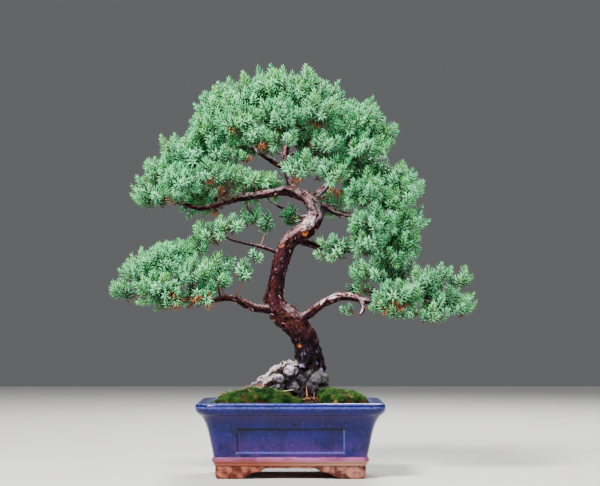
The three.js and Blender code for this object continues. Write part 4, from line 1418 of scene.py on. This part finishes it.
# %% Lobes
# each lobe is x, y, z, then its half length, depth and height in millimetres
LOBES = {
    "upper_left": [
        (-117, -12, 229, 15, 18, 16),
        (-108, -6, 249, 17, 22, 14),
        (-96, 4, 265, 17, 22, 16),
        (-79, -14, 264, 20, 24, 20),
        (-88, -30, 241, 21, 18, 15),
        (-64, -34, 245, 20, 16, 15),
        (-46, -34, 243, 18, 14, 13),
        (-26, -38, 241, 17, 11, 9),
        (-56, -28, 264, 15, 14, 11),
    ],
    "crown": [
        (-62, -12, 302, 18, 22, 16),
        (-68, -24, 282, 18, 22, 16),
        (-44, -8, 310, 19, 24, 17),
        (-40, -38, 287, 22, 18, 18),
        (-15, -6, 318, 24, 26, 19),
        (-12, -44, 291, 22, 16, 20),
        (12, -10, 316, 21, 26, 19),
        (22, -44, 296, 22, 16, 16),
        (35, -6, 306, 15, 24, 16),
        (48, -22, 289, 18, 24, 17),
        (64, -8, 293, 14, 22, 17),
        (77, -4, 280, 15, 20, 14),
        (63, -26, 268, 20, 20, 14),
        (30, -32, 270, 17, 16, 12),
        (-30, -40, 274, 18, 14, 11),
        (-8, -44, 274, 15, 13, 10),
        (0, 14, 292, 26, 16, 18),
        (50, 10, 280, 22, 16, 14),
        (58, 5, 258, 18, 14, 12),
        (9, -40, 248, 16, 12, 15),
        (37, -30, 247, 16, 16, 15),
    ],
    "right": [
        (84, -4, 245, 20, 24, 13),
        (99, -8, 235, 14, 20, 14),
        (60, -24, 234, 22, 20, 15),
        (82, -16, 225, 18, 18, 11),
        (97, -6, 207, 18, 20, 17),
        (66, -28, 208, 24, 18, 14),
        (93, -4, 190, 18, 20, 14),
        (62, -26, 191, 20, 18, 13),
        (78, -16, 180, 17, 16, 11),
        (36, -22, 189, 17, 11, 9),
        (32, -24, 180, 13, 9, 7),
    ],
    "lower_right": [
        (62, -20, 167, 20, 18, 13),
        (84, 0, 170, 20, 22, 14),
        (56, 3, 153, 17, 12, 7),
        (113, -14, 161, 20, 20, 13),
        (140, -10, 161, 13, 14, 9),
        (86, -32, 149, 22, 16, 14),
        (127, -14, 144, 21, 18, 12),
        (139, -16, 139, 14, 14, 9),
        (117, -24, 132, 14, 12, 10),
        (88, -28, 134, 14, 12, 8),
        (45, -22, 136, 8, 7, 7),
        (71, -26, 138, 10, 12, 8),
    ],
    "lower_left": [
        (-139, -14, 151, 13, 18, 11),
        (-123, -6, 168, 17, 22, 16),
        (-105, -18, 177, 18, 22, 15),
        (-92, -6, 183, 17, 20, 13),
        (-104, -34, 153, 24, 16, 16),
        (-80, -30, 165, 20, 16, 15),
        (-76, -20, 150, 20, 18, 11),
        (-62, -8, 171, 18, 20, 14),
        (-76, 0, 188, 12, 14, 13),
        (-56, -20, 158, 13, 12, 10),
    ],
    "twig": [
        (-65, -28, 198, 15, 12, 12),
        (-51, -28, 205, 15, 11, 9),
        (-37, -26, 166, 9, 8, 15),
        (-29, -26, 179, 11, 8, 7),
        (-32, -8, 212, 12, 9, 12),
        (-19, -6, 207, 8, 8, 14),
    ],
    "back": [
        (19, 57, 279, 21, 20, 16),
        (-36, 50, 281, 27, 19, 17),
        (46, 48, 264, 20, 18, 15),
        (66, 42, 248, 21, 23, 18),
        (-26, 61, 239, 24, 18, 11),
        (33, 50, 225, 16, 21, 16),
        (0, 16, 211, 10, 9, 12),
        (-76, 37, 229, 20, 20, 17),
        (-58, 38, 250, 20, 19, 16),
    ],
}
# small lobes of dead brown shoots, under the pads
BROWNED = {
    "upper_left": [(-95, -16, 226, 17, 10, 5), (-58, -24, 231, 17, 10, 6)],
    "crown": [(-24, -40, 268, 13, 10, 6), (-40, -32, 259, 9, 8, 6)],
    "right": [(36, -26, 232, 8, 7, 7)],
    "lower_right": [(80, -34, 141, 18, 10, 8), (104, -30, 132, 9, 8, 6), (126, -26, 153, 8, 8, 6)],
    "lower_left": [(-74, -28, 145, 17, 10, 7), (-100, -34, 139, 14, 8, 5)],
}
HAND_AREA = (105, 124)  # square millimetres of a small and of a large lobe's surface for each hand
LEADING = 0.28  # the share of hands that are single shoots and stand out from the lobe
LONE_SHOOTS = (4, 5)  # the first two hands without side shoots
REACH = (0.78, 1.04)  # where the other hands end, from the lobe's middle to its surface at 1
DEEP = 0.78  # a hand that ends deeper than this in a neighbour is left out
DEAD = (0.22, 0.6)  # the share of dead hands right under a pad, and in a small brown lobe
GOLDEN = math.pi * (3 - math.sqrt(5))
CARRIER_START = 80  # the first stop of the trunk that carries twigs
all_lobes = [lobe for lobes in LOBES.values() for lobe in lobes]
carriers = [
    (limb.places[i], limb.radii[i])
    for limb, kind in limbs
    for i in range(len(limb.places))
    if kind == "branch" or (kind == "trunk" and i >= CARRIER_START)
]
twiglet = rod(0.7, 0.5, 1)
print(len(all_lobes), "lobes on", len(carriers), "stops of wood")


# %% Places in a pad
def out_of(lobe, place):
    """How far out of a lobe a place lies, 1 at its surface."""
    return math.hypot(*[(place[i] - lobe[i]) / lobe[i + 3] for i in range(3)])


def twig_to(lobe):
    """The twig from the nearest wood to the lobe, and where its hands branch off."""
    middle = Vector(lobe[:3])

    def cost(stop):
        """How long a twig from a stop would be, and more where it would have to grow down."""
        return (stop[0] - middle).length + 0.4 * max(0, stop[0].z - middle.z)

    start, radius = min(carriers, key=cost)
    hub = middle.lerp(start, 0.1)
    sag = Vector((0, 0, -0.12 * (hub - start).length))
    thick = min(1.15, 0.7 * radius)
    points = [(*start, thick), (*(start.lerp(hub, 0.5) + sag), 0.85 * thick), (*hub, 0.6)]
    bm = bmesh.new()
    Limb(points, 3).tube(bm, 5)
    return woody(mesh_of(bm, "twig")), hub


def directions(count, spin):
    """Directions spread evenly over a ball, from the top down, each with its rise."""
    for i in range(count):
        rise = 1 - (2 * i + 1) / count
        out = math.sqrt(1 - rise * rise)
        around = GOLDEN * i + spin
        yield Vector((out * math.cos(around), out * math.sin(around), rise)), rise


def chosen_hand(draw, room, size, leading):
    """Which hand to take and its size, so that it fits in the room there is."""
    fits = [i for i, (leader, _) in enumerate(HANDS) if SHOOT_LENGTHS[leader] * size < room]
    if not fits:
        return len(HANDS) - 1, room / SHOOT_LENGTHS[0]
    # half of the hands are taken from the two largest that fit
    which = draw.choice(fits[:2] if draw.random() < 0.5 else fits[:5])
    if leading and which < LONE_SHOOTS[0]:
        which = draw.choice(LONE_SHOOTS)
    return which, size


print("a lobe of 20 mm gets", round(4 * math.pi * 20**2 / HAND_AREA[1]), "hands at most")


# %% Growing a pad
def green_pad(pad, draw):
    """One mesh with all the hands and twigs of a pad."""
    lobes = LOBES[pad]
    heart = sum((Vector(lobe[:3]) for lobe in lobes), Vector()) / len(lobes)
    heart = Vector((heart.x, 0, heart.z - 15))
    copies, looks = [], []
    for lobe in lobes + BROWNED.get(pad, []):
        green = lobe in lobes
        twig, hub = twig_to(lobe)
        copies.append((twig, Matrix()))
        looks.append((0, 0, 0, 1))
        x, y, z = lobe[3:]
        area = 4 * math.pi * (x * y + x * z + y * z) / 3
        count = round(area / HAND_AREA[min(x, y, z) > 12])
        for ball, rise in directions(count, draw.uniform(0, math.tau)):
            # where the hand's tip comes, if it isn't hidden in another lobe or lost in the shade
            under = max(0, -rise - 0.2)
            leading = rise > -0.1 and draw.random() < LEADING
            reach = draw.uniform(*REACH) + 0.3 * leading - 0.3 * under
            tip = Vector([lobe[k] + ball[k] * lobe[k + 3] * reach for k in range(3)])
            hidden = any(other is not lobe and out_of(other, tip) < DEEP for other in all_lobes)
            if hidden or draw.random() < 0.9 * under:
                continue
            # which way it grows, how large it is and where its foot is
            jitter = scatter(draw, 0.2)
            away = (tip - heart).normalized()
            along = ball * 0.6 + away * 0.6 + Vector((0, 0, 0.45)) + jitter
            if rise < 0:
                along.z = min(along.z, 0.3 + 0.7 * rise)
            along.normalize()
            size = draw.uniform(0.85, 1.05) if green else draw.uniform(0.6, 0.8)
            room = 1.5 * (tip - Vector(lobe[:3])).length
            which, size = chosen_hand(draw, room, size, leading)
            foot = tip - along * SHOOT_LENGTHS[HANDS[which][0]] * size
            if foot.z < lobe[2] - 0.5 * z and out_of(lobe, foot) > 1.2:
                continue
            turn = turned(along) @ Matrix.Rotation(draw.uniform(-0.8, 0.8), 4, "Z")
            copies.append((hands[which], Matrix.Translation(spot(*foot)) @ turn @ Matrix.Scale(size, 4)))
            dead = draw.random() < (DEAD[0] * under if green else DEAD[1])
            # the hand's tint, whether it is dead, and how deep it ends, which sets its painted shade
            looks.append((draw.random(), float(dead), reach, 1))
            # the thin stem that carries it
            stem = foot - hub
            size = Matrix.Diagonal((1, 1, stem.length, 1))
            copies.append((twiglet, Matrix.Translation(spot(*hub)) @ turned(stem) @ size))
            looks.append((0, 0, 0, 1))
    mesh = gathered("foliage_" + pad, copies)
    each = [len(shape.vertices) for shape, _ in copies]
    mark(mesh, "hand_tint_and_shade", np.repeat(looks, each, axis=0), "FLOAT_COLOR")
    return mesh


# %% [markdown]
# The needles' colour is what the photograph is mostly made of. The young needles near the tip of a shoot are
# a light mint, frosted with wax on their inner side, the older ones near its foot are a deep green, and each
# hand leans a little to blue or to yellow. Hands that end deep inside their lobe get painted shade. The finish
# reads all of this from the attributes of the mesh, so it needs no picture and stays with each needle.

# %% Needle finish
bloom = {"Sheen_Weight": 0.08, "Sheen_Roughness": 0.5, "Sheen_Tint": colour(170, 255, 200)}
needles, tree, shader = new_material("juniper_needles", Roughness=0.45, **bloom)
leaf = attribute(tree, "leaf")
parts = parts_of(tree, leaf["Color"])
hand_tint_and_shade = parts_of(tree, attribute(tree, "hand_tint_and_shade")["Color"])
grain = grainy(tree, own_place(tree), 1.5, 2)
old = blend(tree, hand_tint_and_shade[0], colour(2, 34, 20), colour(22, 58, 14))
young = blend(tree, between(tree, hand_tint_and_shade[0], 0.3, 1), colour(44, 192, 106), colour(112, 210, 76))
age = between(tree, times(tree, parts[2], times(tree, parts[0], 0.35), "ADD"), 0.3, 1.1)
green = blend(tree, age, old, young)
waxy = times(tree, parts[1], between(tree, parts[2], 0.1, 0.8, 0.3, 0.85))
green = blend(tree, waxy, green, colour(148, 255, 186))
green = blend(tree, times(tree, grain, 0.2), green, colour(10, 50, 30))
# painted shade on hands that end deep inside their lobe
green = blend(tree, between(tree, hand_tint_and_shade[2], 1.0, 0.74, 0, 0.75), green, colour(2, 22, 14))
brown = blend(tree, hand_tint_and_shade[0], colour(74, 36, 18), colour(172, 98, 54))
green = blend(tree, hand_tint_and_shade[1], green, brown)
wooden = blend(tree, grain, colour(50, 26, 20), colour(104, 62, 48))
feed(tree, shader, Base_Color=blend(tree, leaf["Alpha"], wooden, green))

# %% All the pads
for number, pad in enumerate(LOBES):
    nodes = [name for name in sorted(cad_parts) if name.startswith("spray_" + pad + "_")]
    finished("foliage_" + pad, green_pad(pad, random.Random(40 + number)), needles, "needles", *nodes)

# %% [markdown]
# ## Litter
#
# What has fallen from the tree lies on the soil and against the stone: brown fibres of old bark, a pale dry
# twig, dead needles, one curled orange flake that stands upright and a few blades of grass. They are small,
# but without them the base looks swept. A fibre is a thin cone bent into an arc, and each copy is dropped on
# the highest point under it, which a ray sent straight down finds.

# %% Litter
RAYS_FROM = 95  # the height at which a ray that looks for the ground starts
LEAST_GROUND = 57  # the height that is taken where it finds nothing higher
# each patch is x, y, how wide and deep it is in millimetres and its count
FIBRE_PATCHES = [
    (-27, -19, 10, 4, 70),
    (-50, -30, 12, 8, 16),
    (16, -26, 8, 4, 30),
    (48, -22, 12, 8, 18),
    (-45, 10, 16, 30, 18),
]
GRASS = [(-45, -24, 14, -25), (-43, -22, 11, -10), (-47, -21, 9, -40), (30, -24, 7, 15), (-12, -30, 7, 10)]
GROUNDS = ("potting_soil", "stone_knobs", "juniper_wood", "moss_front_left_bed")
grounds = [bpy.data.objects[name] for name in GROUNDS]
bpy.context.view_layer.update()


def ground_at(x, y):
    """The height of what lies highest at a place, in millimetres."""
    start = spot(x, y, RAYS_FROM)
    heights = [LEAST_GROUND]
    for ground in grounds:
        inverse = ground.matrix_world.inverted()
        hit, place, *_ = ground.ray_cast(inverse @ start, inverse.to_3x3() @ Vector((0, 0, -1)))
        if hit:
            heights.append((ground.matrix_world @ place).z / MM)
    return max(heights)


def arc(length, thick, bend):
    """A thin pointed piece along Z, bent towards Y."""
    bm = bmesh.new()
    cone(bm, thick, thick * 0.3, length, 4, Matrix.Translation((0, 0, length / 2 * MM)))
    upright = [edge for edge in bm.edges if abs(edge.verts[0].co.z - edge.verts[1].co.z) > length / 2 * MM]
    bmesh.ops.subdivide_edges(bm, edges=upright, cuts=5)
    for vertex in bm.verts:
        share = vertex.co.z / (length * MM)
        vertex.co.y += bend * share * share * MM
    return mesh_of(bm, "arc")


draw = random.Random(12)
copies, tones = [], []
fibre = arc(10, 0.32, 2.5)
for x, y, wide, deep, count in FIBRE_PATCHES:
    for _ in range(count):
        at = (draw.gauss(x, wide / 2), draw.gauss(y, deep / 2))
        along = Vector((draw.uniform(-1, 1), draw.uniform(-0.6, 0.6), draw.uniform(-0.35, 0.2)))
        place = Matrix.Translation(spot(*at, ground_at(*at) + 0.4))
        size = Matrix.Diagonal((*[draw.uniform(0.7, 1.4)] * 2, draw.uniform(0.3, 0.95), 1))
        copies.append((fibre, place @ turned(along) @ size))
        tones += [draw.random()] * len(fibre.vertices)
twig = arc(19, 0.8, 0.8)
copies.append((twig, Matrix.Translation(spot(-16, -27, 68.2)) @ turned(Vector((1, -0.02, 0.1)))))
tones += [1] * len(twig.vertices)
upright = arc(8, 1.1, 1.2)
place = Matrix.Translation(spot(13.4, -23, 65)) @ turned(Vector((-0.12, -0.15, 1)))
copies.append((upright, place @ Matrix.Diagonal((1, 0.4, 1, 1))))
tones += [1.3] * len(upright.vertices)
for x, y, length, lean in GRASS:
    blade = arc(length, 0.5, 0.3 * length)
    along = Vector((math.sin(math.radians(lean)), -0.1, 1))
    foot = Matrix.Translation(spot(x, y, ground_at(x, y) - 0.5))
    copies.append((blade, foot @ turned(along, Vector((lean, 0, 0.1)))))
    tones += [2] * len(blade.vertices)
litter_mesh = gathered("litter", copies)
mark(litter_mesh, "tone", tones)
litter, tree, shader = new_material("litter", Roughness=0.85, Specular_IOR_Level=0.15)
tone = attribute(tree, "tone")["Fac"]
grain = grainy(tree, own_place(tree), 0.8, 2)
fibrous = blend(tree, between(tree, tone, 0, 0.7), colour(52, 24, 14), colour(168, 96, 58))
fibrous = blend(tree, between(tree, tone, 0.7, 1), fibrous, colour(214, 190, 158))
fibrous = blend(tree, between(tree, tone, 1.1, 1.25), fibrous, colour(220, 122, 84))
fibrous = blend(tree, between(tree, tone, 1.5, 1.9), fibrous, colour(58, 112, 30))
feed(tree, shader, Base_Color=blend(tree, times(tree, grain, 0.4), fibrous, colour(40, 22, 14)))
finished("litter", litter_mesh, litter, "soil")
